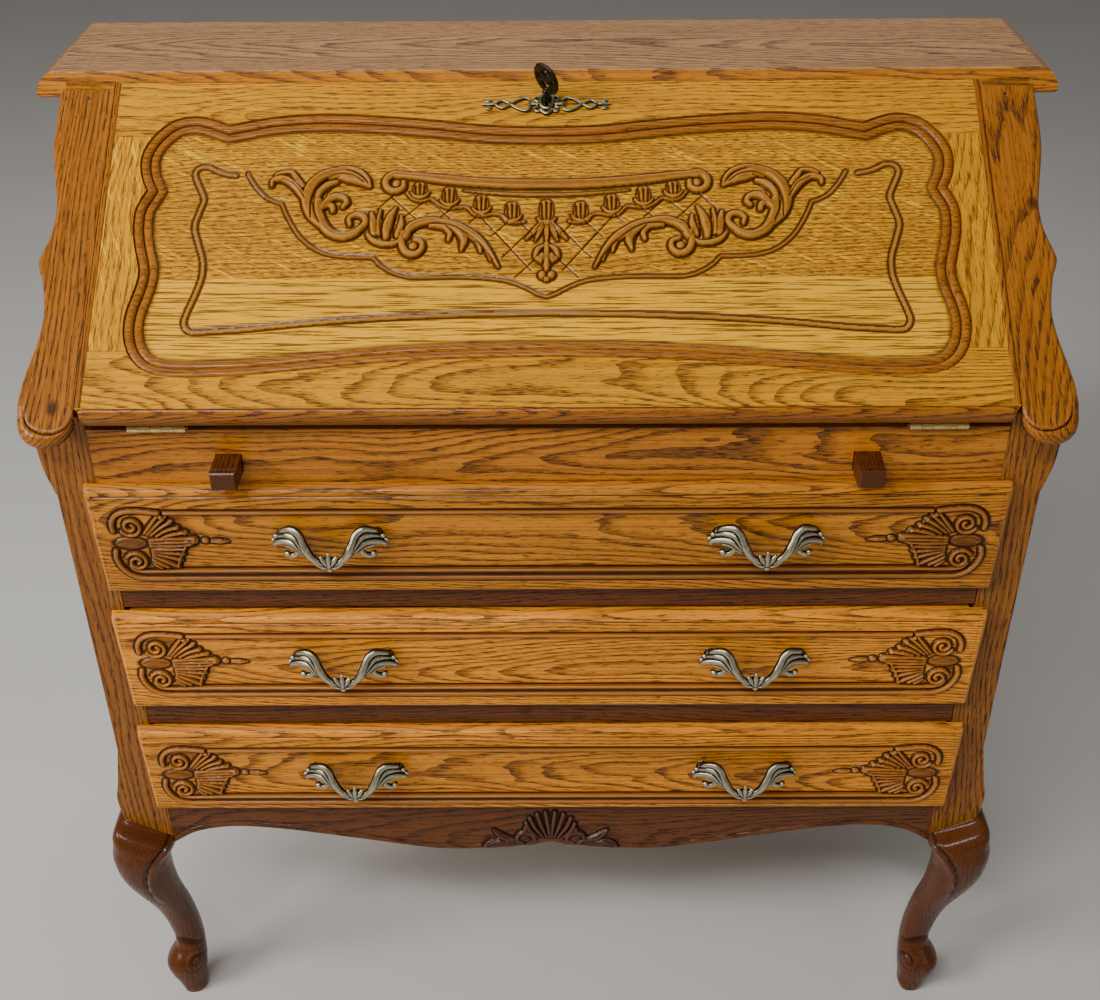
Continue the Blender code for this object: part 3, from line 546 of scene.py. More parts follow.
def metal(name, bright, dull, dark, rough=0.3, grime_and_flank_shade=0.6, cavity=True):
    """Cast or rolled metal: rubbed bright on its high points, dull and dark in its recesses, and, where a
    casting stores flank shade, dull and dark on sides turned from the front as painted shade.
    """
    n = Shader(bpy.data.materials.new(name))
    coords = n.add("TexCoord").outputs["Object"]
    cloud = n.noise(coords, (260, 260, 260), 4.0).outputs[0]
    fine = n.noise(coords, (1560, 1560, 1560)).outputs[0]
    color = n.mix(n.step(cloud, 0.35, 0.68), tint(bright), tint(dull))
    if cavity:
        level = n.attribute("cavity")
        # dull and dark in recesses; on castings with flank shade also on sides turned from the front: painted
        # shade
        color = n.mix(n.math("MULTIPLY", n.step(level, 0.86, 0.55), 0.8), color, tint(dull, 0.8))
        color = n.mix(n.math("MULTIPLY", n.step(level, 0.60, 0.28), grime_and_flank_shade), color, tint(dark))
        color = n.mix(n.math("MULTIPLY", n.step(level, 0.85, 1.0), 0.6), color, tint(bright, 1.1))
    bump = n.add("Bump", {"Height": fine, "Strength": 0.12, "Distance": 0.0002}).outputs[0]
    n.set(n.principled, {"Base Color": color, "Metallic": 1.0, "Normal": bump,
                         "Roughness": n.math("MULTIPLY_ADD", cloud, 0.22, rough - 0.08)})
    return n.material


# pale and dark colours of each stained wood; some also carry painted light and shade, as marked
GOLD = (0.74, 0.325, 0.012), (0.30, 0.100, 0.006)
CASE = (0.42, 0.140, 0.012), (0.12, 0.033, 0.005)
POST = (0.35, 0.122, 0.012), CASE[1]
# fascia: paler than the case, partly its own tone and partly painted light from the front
FASCIA = (0.58, 0.200, 0.014), CASE[1]
RAIL = (0.75, 0.330, 0.014), (0.20, 0.065, 0.005)
DRAWER = (0.69, 0.250, 0.014), (0.15, 0.042, 0.005)
# the top board: its greyer top is a painted sheen of light glancing off it
TOP_WITH_SHEEN = (0.58, 0.300, 0.125), (0.17, 0.075, 0.028)
# apron and dividers: darkened as painted shade, where they lie under the drawers
APRON_SHADED = (0.155, 0.043, 0.006), (0.06, 0.016, 0.004)
LEG = (0.125, 0.031, 0.003), (0.038, 0.010, 0.003)
PLAIN = (0.50, 0.33, 0.15), (0.30, 0.17, 0.065)

SILVERED = metal("silvered_brass", (0.88, 0.83, 0.64), (0.50, 0.45, 0.31), (0.02, 0.016, 0.009), 0.34, 0.98)
AGED_BRASS = metal("aged_brass", (0.74, 0.64, 0.36), (0.30, 0.25, 0.13), (0.02, 0.016, 0.009), 0.34, 0.97)
BRONZE = metal("dark_bronze", (0.13, 0.11, 0.09), (0.04, 0.032, 0.026), (0.012, 0.01, 0.008), 0.36, 0.9)
BRIGHT = metal("bright_brass", (0.86, 0.66, 0.27), (0.70, 0.50, 0.18), (0.1, 0.07, 0.02), 0.26, cavity=False)
STEEL = metal("plain_steel", (0.50, 0.50, 0.51), (0.36, 0.36, 0.37), (0.1, 0.1, 0.1), 0.36, cavity=False)


def dress(nodes, material):
    """Give a material to CAD pieces, named in one string."""
    for node in nodes.split():
        slots = NODES[node].data.materials
        slots.clear()
        slots.append(material)


def dress_oak(nodes, colors, grain="X", name=None, **look):
    dress(nodes, oak("oak_" + (name or nodes), *colors, grain, **look))


def dress_cad():
    """Grain and metal for the CAD pieces that stay in sight."""
    plain = dict(gloss=0.55, figure=0.4)
    dress_oak("fall_top_rail", GOLD, tilt=SLOPE, seed=3, pith=(0, 0.05, 0.9))
    dress_oak("fall_bottom_rail", RAIL, tilt=SLOPE, seed=4, figure=0.5, pith=(0, -0.17, 0.79),
              lean=(0, 0.05, 0.05))
    for k, (side, sign) in enumerate(SIDES):
        out = 0.4 * sign
        dress_oak("fall_stile_" + side, GOLD, "Y", tilt=SLOPE, seed=5 + k, figure=0.3,
                  pith=(0.8 * out, 0, 0.7), flecks=0.8, fleck_turn=-0.35)
        dress_oak("front_post_" + side, POST, "Z", seed=7 + k, pith=(1.3 * out, -0.05, 0.5), figure=0.5,
                  tone=0.3)
        dress_oak("rear_post_" + side, CASE, "Z", seed=9 + k, pith=(0.7 * out, 0.3, 0.5))
        dress_oak("side_panel_" + side, CASE, "Z", seed=11 + k, pith=(0.8 * out, 0, 0.5), figure=0.45)
        dress_oak("loper_" + side, LEG, "Y", seed=13 + k)
        dress_oak("small_drawer_" + side, GOLD, seed=15 + k, pith=(0, 0.1, 0.8))
        dress("small_knob_" + side, metal("knob_brass_" + side, (0.6, 0.5, 0.3), (0.4, 0.33, 0.2),
                                          (0.05, 0.04, 0.02), 0.32, cavity=False))
    dress_oak("fascia_rail top_rail", FASCIA, name="fascia", seed=17, figure=0.62, tone=0.3,
              pith=(0, -0.14, 0.75))
    # dividers in the apron's colours: painted shade under the drawers' lips
    dress_oak("divider_upper divider_lower", APRON_SHADED, name="dividers", seed=18, pith=(0, -0.1, 0.5))
    # greyer top: painted sheen; its front edge keeps the fascia colours
    dress_oak("top_board", TOP_WITH_SHEEN, seed=20, figure=0.5, gloss=0.3, pith=(0, 0.15, 0.93), front=(1.0152, FASCIA))
    dress_oak("drawer_box_upper drawer_box_middle drawer_box_lower runner_frame_upper runner_frame_middle "
              "runner_frame_lower", PLAIN, name="plain", seed=21, **plain)
    dress_oak("loper_guide_left loper_guide_right", PLAIN, "Y", name="plain_guides", seed=22, **plain)
    dress_oak("back_panel", PLAIN, "Z", seed=23, pith=(0.1, 0.15, 0.5), **plain)
    dress_oak("writing_deck pigeonhole_unit", GOLD, name="interior", seed=24, pith=(0, 0.1, 0.7), figure=0.45,
              gloss=0.42)
    for part in ("fixed_leaf", "moving_leaf", "pin"):
        dress("hinge_%s_left hinge_%s_right" % (part, part), BRIGHT)
    dress("lock_case lock_bolt", STEEL)


# --- fall ----------------------------------------------------------------------------------------

def field_outline():
    """Clockwise outline of the fall's sunk field, from the middle of its top."""
    arch = curve_through([(0, 292.5), (51, 294), (102, 300), (153, 305), (208, 308), (255, 305),
                          (285, 299), (299, 296)], 8)
    lobe = curve_through([(299, 296), (315, 302.5), (332, 306), (352, 301.5), (368, 287), (378, 268),
                          (379.5, 251), (376, 235), (371, 224)], 6)[1:]
    flank = curve_through([(371, 224), (379, 205), (379.5, 184), (376, 163), (370, 140), (371, 123),
                           (377, 97), (377.5, 76), (372, 56), (360, 40.5), (342, 32.5), (317, 30.5)], 6)[1:]
    foot = curve_through([(317, 30.5), (265, 32.5), (204, 38.5), (150, 44), (80, 48), (0, 49.5)], 6)[1:]
    return mirrored(np.vstack([arch, lobe, flank, foot]))


def bead_profile(centre, half, edge, rise):
    """Points of a rounded bead and a shading level for each, going from its outer to its inner edge: higher
    on the crown (painted highlight), lower at its feet (painted shade).
    """
    angles = np.radians(np.linspace(10, 170, 7))
    points = [(centre + half * math.cos(a), edge + rise * math.sin(a)) for a in angles]
    return points, [0.35 + 0.4 * math.sin(a) for a in angles]


def fall_moulding():
    """Two beads with a groove between them, round the field; nothing stands above the fall's frame."""
    outer, outer_marks = bead_profile(-4.6, 3.9, -2.7, 2.5)
    inner, inner_marks = bead_profile(-13.3, 4.2, -4.3, 2.5)
    # the inner bead grows darker towards the field: painted shade
    inner_marks = [m * (1.0 - 0.09 * k) for k, m in enumerate(inner_marks)]
    profile = ([(-0.1, -8.0), (-0.1, -1.4), (-0.7, -2.2)] + outer + [(-8.7, -3.6), (-9.1, -3.8)] + inner
               + [(-17.6, -5.9), (-17.6, -8.0)])
    # painted shade in the quirk by the frame, in the groove and at the foot by the field
    marks = [0.5, 0.3, 0.1] + outer_marks + [0.06, 0.06] + inner_marks + [0.05, 0.2]
    path = field_outline()
    verts, faces = sweep(path, profile)
    extra = {"cavity": np.tile(marks, len(path)), "carved": np.full(len(verts), 0.62)}
    material = oak("oak_fall_moulding", *DRAWER, seed=2, pith=(0, 0.15, -0.1), figure=0.25,
                   carved=True)
    piece("fall_moulding", verts, faces, SLOPED, "fall", material, extra=extra)


SCALE = 1.0215                    # the carving's outlines below are drawn this much under their full size
LIFT = 2.6                        # and sit this far below their place


def fall_lines(pen):
    """The panel's inner frame and, finer still, the cartouche under the carving."""
    frame_line, cartouche = (1.8, 0.6, 8), (1.15, 0.25, 8)
    pen.bar([(-284, 234), (-297, 237), (-309, 243), (-318, 242), (-321, 235), (-316, 222), (-311, 209),
             (-314, 195), (-317, 180), (-312, 162), (-307, 146), (-306, 130), (-310, 112), (-316, 93),
             (-318, 82), (-313, 74), (-303, 73)], *frame_line)
    pen.bar([(-303, 73), (-262, 76), (-215, 81), (-150, 86), (-100, 88.5), (-50, 90), (0, 90.5)], *frame_line)
    pen.bar([(-273, 236), (-266, 224), (-256, 212), (-246, 206), (-240, 204)], *cartouche)
    pen.bar([(-240, 204), (-233, 188), (-222, 170), (-208, 157), (-192, 150), (-175, 148), (-155, 147.5)],
            *cartouche)
    pen.bar([(-155, 147.5), (-146, 138), (-132, 130), (-117, 127), (-85, 127.5), (-55, 126), (-35, 123),
             (-20, 117), (-8, 110), (0, 107)], *cartouche)


def fall_trellis(pen):
    """Diamond lattice behind the garland."""
    bars = (((-153, 198), (-138, 214)), ((-141, 211), (-116, 186)), ((-128, 190), (-112, 205)),
            ((-106, 207), (-88, 189)), ((-95, 190), (-84, 200)), ((-60, 190), (-14, 134)),
            ((-70, 183), (-62, 191)), ((-50, 169), (-32, 187)), ((-23, 183), (-9, 166)),
            ((-40, 147), (-12, 178)), ((-28, 127), (-6, 150)), ((-33, 158), (-45, 172)))
    for bar in bars:
        pen.vein(bar, 0.8, 1.6, 1)


def fall_ribbon(pen):
    """Ribbon bar that sags between two scrolls, with its thin lines below."""
    bar = [(-139, 233), (-120, 232), (-95, 228.5), (-60, 225), (-30, 223.3), (0, 223), (30, 223.3), (60, 225),
           (95, 228.5), (120, 232), (139, 233)]
    pen.single().bar(bar, [3.2, 4.6, 4.8, 4.8, 4.8, 4.6, 3.2], 3.6)
    pen.bar([(-128, 233), (-139, 234), (-146, 228), (-145, 220), (-138, 216), (-131, 219), (-130, 225)],
            [3.4, 3.6, 3.0, 2.6], 3.8)
    pen.boss(136.5, 224, 4.0, 4.0, 3.0)
    line = [(-75, 217), (-50, 214.2), (-25, 212.4), (0, 212), (25, 212.4), (50, 214.2), (75, 217)]
    pen.single().bar(line, [0.6, 1.3, 1.4, 1.3, 0.6], [0.4, 1.2, 1.2, 0.4])


def cup(pen, x, y, tall):
    """Fluted cup: three deep gouges over a rolled foot."""
    low, high = y - 0.42 * tall, y + 0.5 * tall
    pen.bar([(x, low + 3), (x, y), (x, high - 2)], [5.2, 6.4, 6.0], [1.2, 1.5, 0.7], 3)
    for shift in (-4.0, 0.0, 4.0):
        top = high + (1.5 if shift == 0 else 0.0)
        pen.vein([(x + 0.8 * shift, low + 3.0), (x + shift, y), (x + 1.08 * shift, top)], 1.35, 2.6, 3)
    foot = [(x - 8.0, low + 4.5), (x - 5.0, low + 0.6), (x, low - 1.4), (x + 5.0, low + 0.6),
            (x + 8.0, low + 4.5)]
    pen.bar(foot, [0.9, 1.5, 1.9, 1.5, 0.9], [1.4, 2.2, 2.4, 2.2, 1.4], 5)


def fall_cups(pen):
    """Nine cups, joined by a festoon line."""
    for x, y, tall in ((115, 216, 13), (88, 209, 16), (59, 200.5, 16), (31, 192.5, 17)):
        cup(pen, x, y, tall)
    cup(pen.single(), 0, 192, 22)
    pen.bar([(127, 215), (121, 208), (113, 206), (105, 208), (97, 202), (90, 198.5), (80, 199), (72, 199),
             (65, 191.5), (57, 190), (48, 192), (41, 190.5), (36, 184), (28, 182.5), (20, 184)], 1.0, 1.3)


def fall_scrolls(pen):
    """Acanthus scrolls at each end of the garland."""
    # great leaf: a C that turns out of the lower scroll, over the top and down to its tip
    pen.bar([(-166, 178), (-163, 184), (-166, 190), (-173, 191), (-178, 187), (-177, 181)],
            [3.0, 3.2, 2.6, 2.0], 3.4)
    pen.bar([(-167, 177), (-174, 171), (-184, 169), (-194, 173), (-201, 181), (-206, 193), (-207, 205)],
            [3.0, 4.2, 4.6, 4.8, 4.4], 4.4)
    pen.bar([(-204, 180), (-213, 192), (-217, 207), (-214, 221), (-206, 231), (-195, 237), (-184, 238)],
            [2.2, 4.6, 5.6, 5.4, 4.6, 3.0], [2.8, 4.2, 4.6, 4.4, 3.4])
    pen.bar([(-200, 232), (-190, 234), (-178, 231), (-168, 226), (-161, 221)], [2.6, 5.2, 6.4, 4.6, 1.2],
            [3.0, 4.6, 4.8, 2.2])
    pen.bar([(-189, 241), (-180, 240), (-170, 236), (-163, 229), (-160, 221)], [2.0, 2.6, 2.8, 2.2, 1.0],
            [3.2, 4.2, 4.4, 2.6])
    pen.bar([(-209, 206), (-206, 216), (-199, 223), (-191, 226)], [3.4, 3.6, 3.4, 2.0], [3.6, 3.8, 2.8])
    pen.bar([(-205, 197), (-200, 204), (-192, 210), (-184, 209), (-181, 204), (-184, 200)],
            [3.4, 3.8, 3.6, 3.0, 2.2], [4.2, 4.4, 3.4])
    pen.bar([(-203, 199), (-198, 202), (-194, 200), (-193, 196)], [2.6, 3.4, 2.6], 3.4)
    pen.vein([(-213, 188), (-213, 208), (-206, 225), (-192, 233), (-177, 232), (-166, 225)])
    pen.vein([(-205, 183), (-210, 197), (-209, 214), (-200, 227), (-188, 231)], 0.7, 1.5)
    pen.vein([(-202, 205), (-199, 215), (-193, 222)], 0.7, 1.4)
    pen.vein([(-200, 184), (-190, 174), (-180, 172)], 0.7, 1.2)

    # sprig that runs out to the side
    pen.bar([(-217, 203), (-223, 214), (-232, 225), (-241, 230), (-249, 228), (-250, 223)],
            [2.0, 3.2, 3.6, 3.6, 3.0, 1.6], [3.0, 4.0, 4.0, 3.2])
    pen.bar([(-222, 222), (-227, 228), (-231, 235), (-235, 238)], [2.6, 3.4, 2.6, 1.2], [3.0, 3.4, 2.0])
    pen.bar([(-232, 237), (-240, 237), (-247, 234)], [1.6, 2.0, 1.4], 2.4)
    pen.vein([(-219, 208), (-228, 222), (-240, 229)], 0.7, 1.4)

    # bud between the scrolls
    pen.bar([(-161, 171), (-156, 165), (-147, 161), (-137, 161), (-131, 165)], [1.6, 2.6, 2.8, 2.4, 1.6],
            [2.6, 3.6, 3.0])
    pen.bar([(-158, 193), (-156, 182), (-155, 172)], [1.8, 4.0, 3.4], [2.0, 3.6, 3.2])
    pen.bar([(-136, 199), (-141, 188), (-144, 176), (-144, 168)], [1.0, 3.8, 4.4, 3.0], [2.4, 4.2, 3.6])
    pen.bar([(-131, 190), (-131, 180), (-134, 170)], [1.2, 3.2, 3.0], [2.2, 3.4, 3.0])
    pen.bar([(-150, 196), (-151, 184), (-151, 172)], [1.2, 2.6, 2.6], [2.4, 3.8, 3.2])
    pen.vein([(-148, 196), (-150, 182), (-148, 168)], 0.8, 2.0)
    pen.vein([(-137, 190), (-138, 178), (-137, 168)], 0.8, 1.8)

    # lower leaf: scroll, crown and a long tip with inner lobes
    pen.bar([(-129, 172), (-130, 162), (-126, 153), (-118, 150), (-112, 155), (-112, 162), (-118, 165)],
            [3.0, 3.4, 3.4, 3.0, 2.6, 2.2], 3.8)
    pen.boss(119.5, 158, 4.2, 4.2, 3.4)
    pen.bar([(-127, 168), (-122, 178), (-112, 183), (-100, 184), (-88, 181)], [3.4, 4.2, 4.4, 4.0, 3.0], 4.2)
    pen.bar([(-104, 184), (-88, 181), (-74, 174), (-62, 166), (-53, 155), (-46, 143), (-43, 137)],
            [2.2, 4.6, 5.4, 4.6, 3.4, 2.2, 1.0], [3.2, 4.4, 4.4, 3.6, 2.2])
    pen.bar([(-104, 180), (-93, 179), (-87, 173), (-88, 165)], [2.6, 3.4, 3.2, 1.6], [3.6, 3.6, 2.2])
    pen.bar([(-92, 181), (-80, 175), (-74, 166), (-76, 155)], [2.6, 4.2, 4.0, 1.6], [4.0, 4.0, 2.4])
    pen.bar([(-66, 168), (-61, 163), (-59, 153)], [3.0, 3.2, 1.2], [3.2, 3.2, 1.8])
    pen.bar([(-57, 160), (-52, 152), (-50, 144)], [2.4, 2.6, 1.0], [2.8, 2.6, 1.4])
    pen.vein([(-122, 172), (-112, 179), (-98, 181), (-84, 178), (-70, 169), (-58, 158), (-48, 144)], 0.8, 1.6)
    pen.vein([(-90, 178), (-82, 170), (-79, 160)], 0.7, 1.5)


def fall_pendant(pen):
    """Leaf fan and bell flower that hang from the middle cup."""
    middle = pen.single()
    for lean in (-1.0, -0.55, 0.0, 0.55, 1.0):
        reach = 20 - 3 * abs(lean)
        middle.bar([(lean * 3, 184), (lean * 9, 176), (lean * 18, 183 - reach)], [1.6, 2.6, 1.0],
                   [2.6, 3.8, 1.6], 5)
        middle.vein([(lean * 4, 182), (lean * 9, 175), (lean * 16, 186 - reach)], 0.5, 1.1)
    middle.boss(0, 182, 5.5, 3.2, 4.0)
    pen.bar([(3, 158), (8, 154), (9, 147), (5, 142)], [1.6, 2.6, 2.8, 1.4], [2.8, 3.6, 2.8], 5)
    pen.boss(4.6, 146.5, 4.0, 5.0, 3.6)
    pen.boss(4.0, 128.5, 3.6, 4.0, 3.2)
    middle.bar([(0, 160), (0, 148), (0, 134)], [2.4, 3.0, 2.2], 3.8, 4)
    middle.boss(0, 139, 3.4, 3.0, 3.4)
    middle.boss(0, 124.5, 3.0, 2.4, 2.8)


def fall_panel():
    xs = spaced([(-388, 3.0), (-332, 1.2), (-262, 0.75), (262, 1.2), (332, 3.0), (388, 3.0)])
    ys = spaced([(24, 3.0), (66, 1.1), (104, 0.75), (252, 1.5), (314, 3.0)])
    x, y = np.meshgrid(xs, ys)
    r = Relief(x, y, np.full_like(x, PANEL_LEVEL))
    border, _ = r.nearest(field_outline())
    for carve in (fall_lines, fall_trellis, fall_ribbon, fall_cups, fall_scrolls, fall_pendant):
        carve(Pen(r, SCALE, LIFT))
    material = oak("oak_fall_panel", *GOLD, seed=1, pith=(0, 0.05, -0.16), figure=0.15,
                   flecks=0.8, fleck_turn=0.5, carved=True, tone=0.16, pore=(115, 1150), pore_level=0.53,
                   seam=0.1315)
    # field darkened along the moulding's foot: painted shade, with some staining
    r.shade_and_stain = 0.34 * np.exp(-(np.maximum(border - 17.6, 0) / 2.6) ** 2)
    relief_piece("fall_panel_carved", r, SLOPED, "fall", material, ["fall_panel"], -22.0)


# --- drawers -------------------------------------------------------------------------------------

# lip low and high, opening low and high, height of the pulls, and a brightness gain on each front's wood that
# paints in the light falling on it
DRAWERS = {"upper": (608.5, 725.3, 616.0, 724.5, 671.0, 0.92),
           "middle": (461.7, 577.2, 469.0, 580.0, 525.0, 1.32),
           "lower": (316.2, 427.2, 323.0, 428.0, 373.0, 1.2)}
LIP_HALF = 420.0
LIP_FLARE = 4.2                   # how much wider the lip is at its top
BEAD = 8.9                        # height of the bead along its top
LIP_THICKNESS = 11.7
LIP_END = 414.5                   # where the beads stop, short of the rounded ends
PULL_X = 201.0
PULL_HEIGHT = 4                   # where DRAWERS holds it


def box_part(low, high):
    (x0, y0, z0), (x1, y1, z1) = low, high
    verts = [(x, y, z) for z in (z0, z1) for x, y in ((x0, y0), (x1, y0), (x1, y1), (x0, y1))]
    faces = [(0, 1, 2, 3), (4, 5, 6, 7), (0, 1, 5, 4), (1, 2, 6, 5), (2, 3, 7, 6), (3, 0, 4, 7)]
    return verts, faces


def rounded(distance, width, depth):
    """Drop of a rounded edge, `distance` in from the edge's outside."""
    u = np.clip(1 - distance / width, 0, 1)
    return depth * (1 - np.sqrt(1 - u ** 2))


def shell_ends(pen):
    """Two volutes, a lozenge and a ribbed shell at each end of a drawer; heights are from the pulls."""
    def rib(points, width, height, steps=5):
        pen.bar(points, width, 1.3 * np.asarray(height), steps)

    # the volutes' outer bands run out into the beads
    rib([(-402, 9), (-402.5, 16), (-399, 24.5), (-391, 29.8), (-381, 31.2), (-370, 30.4), (-358, 28.9)], 2.5,
        2.3)
    rib([(-403, -14), (-404, -22), (-401, -32), (-394, -40.5), (-384, -45), (-370, -46), (-352, -45.8)], 2.6,
        2.3)
    rib([(-392, -30), (-389, -35), (-381, -37.5), (-368, -37.4), (-352, -37.4)], 1.8, 2.0)
    for z, flip in ((14, 1), (-26, -1)):
        turns = zip(np.radians(np.linspace(-150, 420, 18)), np.linspace(10.6, 2.0, 18))
        rib([(-385 + reach * math.cos(a), z + flip * reach * math.sin(a)) for a, reach in turns], 1.9, 2.4, 3)
    pen.boss(388, -5.5, 14.5, 6.6, 1.7)
    pen.vein([(-400, -5.5), (-394, -2.6), (-388, -1.6), (-381, -2.8), (-376, -5.5)], 0.7, 1.0)

    # shell: upper, middle and lower ribs
    for points in ([(-374, 6), (-367, 15), (-360, 24)], [(-371, 5), (-363, 14), (-352, 24)],
                   [(-368, 4), (-358, 12.5), (-347, 19)], [(-363, 3), (-354, 9), (-342.5, 12.5)],
                   [(-357, 2), (-348, 5), (-336, 7)], [(-370, -2), (-352, 0.5), (-330, 0)],
                   [(-370, -5), (-350, -3.6), (-328, -3.4)], [(-370, -8), (-350, -7.6), (-331, -6.8)],
                   [(-369, -12), (-354, -11.6), (-338.5, -11.8)], [(-369, -14.5), (-355, -15.6), (-340, -18)],
                   [(-369, -17), (-356, -19.8), (-343, -25)], [(-369, -20), (-359, -25), (-349, -31)],
                   [(-370, -24), (-363, -28.5), (-357, -32.5)], [(-370, -28), (-366, -31), (-363, -33.5)]):
        rib(points, [1.5, 1.9, 1.6], [1.6, 2.4, 1.8], 4)
    for x, z in ((-356, 24), (-348.5, 18.5), (-343, 12), (-336, 6.5)):
        pen.boss(x, z, 2.8, 2.4, 2.6)
    rib([(-337.5, -9.5), (-340.5, -15.5), (-343, -21), (-345.5, -27), (-347, -33)], 1.5, 2.2)
    pen.boss(328.5, -2.6, 4.0, 4.6, 2.8)
    pen.boss(318.5, -3.4, 3.9, 3.2, 2.2)
    rib([(-312, -4), (-306, -4.2), (-297, -4.6)], [2.0, 2.5, 0.8], [1.5, 1.9, 0.6])


def drawer_front(name, low, high, opening_low, opening_high, mid, painted_light_gain):
    """Lipped front: rounded top, sunk field between two beads, carved ends, and the block behind."""
    quirk = high - BEAD
    xs = spaced([(-LIP_HALF, 0.8), (-414, 0.9), (-292, 9.0), (292, 0.9), (414, 0.8), (LIP_HALF, 1)])
    zs = spaced([(low, 0.7), (low + 4, 0.9), (mid - 52, 0.62), (mid - 32, 0.9), (mid + 22, 0.62),
                 (mid + 32, 0.9), (quirk - 2.4, 0.4), (high, 1)])
    x, z = np.meshgrid(xs, zs)
    level = -rounded(high - z, BEAD - 1.0, 10.2) - rounded(LIP_HALF - np.abs(x), 5.0, 4.6) - rounded(z - low,
                                                                                                     3.5, 2.6)
    level = np.maximum(level,
                       0.4 - LIP_THICKNESS) - 1.3 * np.exp(-((z - quirk) / 0.8) ** 2) * (np.abs(x) < LIP_END)
    level -= 0.35 * np.exp(-((np.abs(x) - 414.6) / 0.6) ** 2) * (z < quirk)
    ends = np.interp(z - mid, [-36, -33, -26, -20, -14, -8, -3, 1, 8, 12, 18, 27],
                     [349, 347, 345, 343, 340, 334, 327, 328, 337, 343, 349, 356])
    sunk = (z > mid - 35.6) & (z < mid + 27.0) & (np.abs(x) < ends)
    level -= 1.4 * sunk
    flare = LIP_FLARE * (z - low) / (high - low) * np.clip((np.abs(x) - 404) / 16, 0, 1)
    r = Relief(x + np.sign(x) * flare, z, level)
    r.stroke([(-352, mid + 28.7), (352, mid + 28.7)], 1.9, 2.5, 1)
    r.stroke([(-352, mid - 37.4), (352, mid - 37.4)], 1.8, 2.4, 1)
    r.stroke([(-352, mid - 45.8), (352, mid - 45.8)], 2.6, 2.7, 1)
    shell_ends(Pen(r, lift=mid))
    # one wood on all fronts, scaled per drawer by the light each gets: painted light
    pale, deep = (tuple(painted_light_gain * c for c in color) for color in DRAWER)
    material = oak("oak_drawer_" + name, pale, deep, seed=30 + mid / 10,
                   pith=(0, mid * MM + 0.004 * (mid % 7 - 3), -0.05), figure=0.6, tone=0.26,
                   carved=True)
    rebate = box_part((-408, opening_low + 0.6, -26),
                      (408, min(opening_high - 2, high - 1.5), -LIP_THICKNESS))
    relief_piece("drawer_front_carved_" + name, r, FRONT, "drawer_" + name, material,
                 ["drawer_front_" + name], -LIP_THICKNESS, r.heights(0.8, 1.3), more=[rebate])


def drawer_fronts():
    for name, sizes in DRAWERS.items():
        drawer_front(name, *sizes)


# --- fittings ------------------------------------------------------------------------------------

def pull_parts():
    """Swan-neck pull: two leafy arms that meet at a palmette, given about its middle; z is outwards."""
    parts = []
    for sign in (-1, 1):
        def bar(points, radius, flat=1.0, steps=5):
            path = curve_through([(-sign * x, y, z) for x, y, z in points], steps)
            parts.append(tube(path, radius, 10, flat))

        bar([(0, -14.2, 23.6), (-4, -13.4, 23.6), (-8, -11.4, 23.6), (-15, -6.2, 23.6), (-20, 2.6, 23),
             (-23, 10, 20.5)], [2.4, 2.6, 3.0, 3.8, 4.4, 3.8])
        bar([(-16, -4, 24), (-20.5, 3.6, 23.5), (-22.4, 8, 22), (-25.8, 15.8, 18), (-32.4, 20.2, 15),
             (-41.2, 16.8, 11), (-44.7, 11.9, 8)], [1.4, 3.0, 3.6, 3.9, 3.6, 2.8, 1.6])
        bar([(-21, 0, 23), (-23.4, 4.5, 22), (-29.9, 12.0, 17), (-38.4, 12.4, 12.5), (-46.2, 8.1, 8.5)],
            [2.0, 3.2, 3.6, 3.2, 1.8])
        bar([(-20, -2, 22.5), (-24.4, 1.4, 21), (-32.2, 6, 16.5), (-41.2, 5.2, 12), (-49.6, 1.0, 8.5),
             (-51.2, -3.4, 7)], [1.8, 3.2, 3.7, 3.5, 2.9, 2.0])
        bar([(-20, -3.4, 21.5), (-25.3, -1.4, 20), (-32.4, 0.8, 15), (-40, 0.2, 11)], [1.8, 2.8, 3.0, 2.4])
        bar([(-30, 1, 13), (-29.6, -5.4, 12.5), (-33, -10.4, 12), (-39, -11.2, 11), (-42, -7.6, 10.5)],
            [2.6, 2.8, 2.9, 2.9, 2.0])
        parts.append(ball((sign * 39.6, -9.4, 11.5), 3.1))
        parts.append(ball((sign * 49.1, 8.0, 7.5), 2.7))
        parts.append(ball((sign * 51.8, 3.3, 7), 2.5))
        parts.append(ball((sign * 42.5, 5.5, 5.5), 8.0, (1.0, 1.15, 0.62)))
        parts.append(ball((sign * 43.5, 6.5, 2.2), 6.4, (1.0, 1.25, 0.34)))
        bar([(0, -16, 24), (-5, -15.8, 24), (-9.8, -13.2, 24.2), (-12.2, -9.8, 24.4), (-9.4, -7.8, 24.4)],
            [2.4, 2.5, 2.4, 2.3, 1.7])
        bar([(-1.5, -13, 24.4), (-4.8, -8, 25.0), (-7.8, -3.6, 24.6)], [2.8, 2.8, 1.3])
    parts.append(tube(curve_through([(0, -15, 24.2), (0, -7, 25.4), (0, 0.4, 24.8)], 4), [3.0, 3.0, 1.3], 10))
    parts.append(ball((0, -11.5, 22.6), 8.2, (1.1, 0.75, 0.5)))
    parts.append(ball((0, -18.0, 24.2), 3.0, (1, 1.1, 1)))
    return parts


def pulls():
    # the last value lowers sides turned from the front: painted shade
    mesh = cast_mesh("pull_casting", pull_parts(), 0.55, SILVERED, 1, 6, 0.32, 0.4)
    for name, sizes in DRAWERS.items():
        for side, sign in SIDES:
            place = FRONT @ Matrix.Translation((sign * PULL_X * MM, sizes[PULL_HEIGHT] * MM, 0))
            node = "pull_%s_%s" % (name, side)
            placed(node + "_cast", mesh, place, "drawer_" + name, SILVERED, [node])


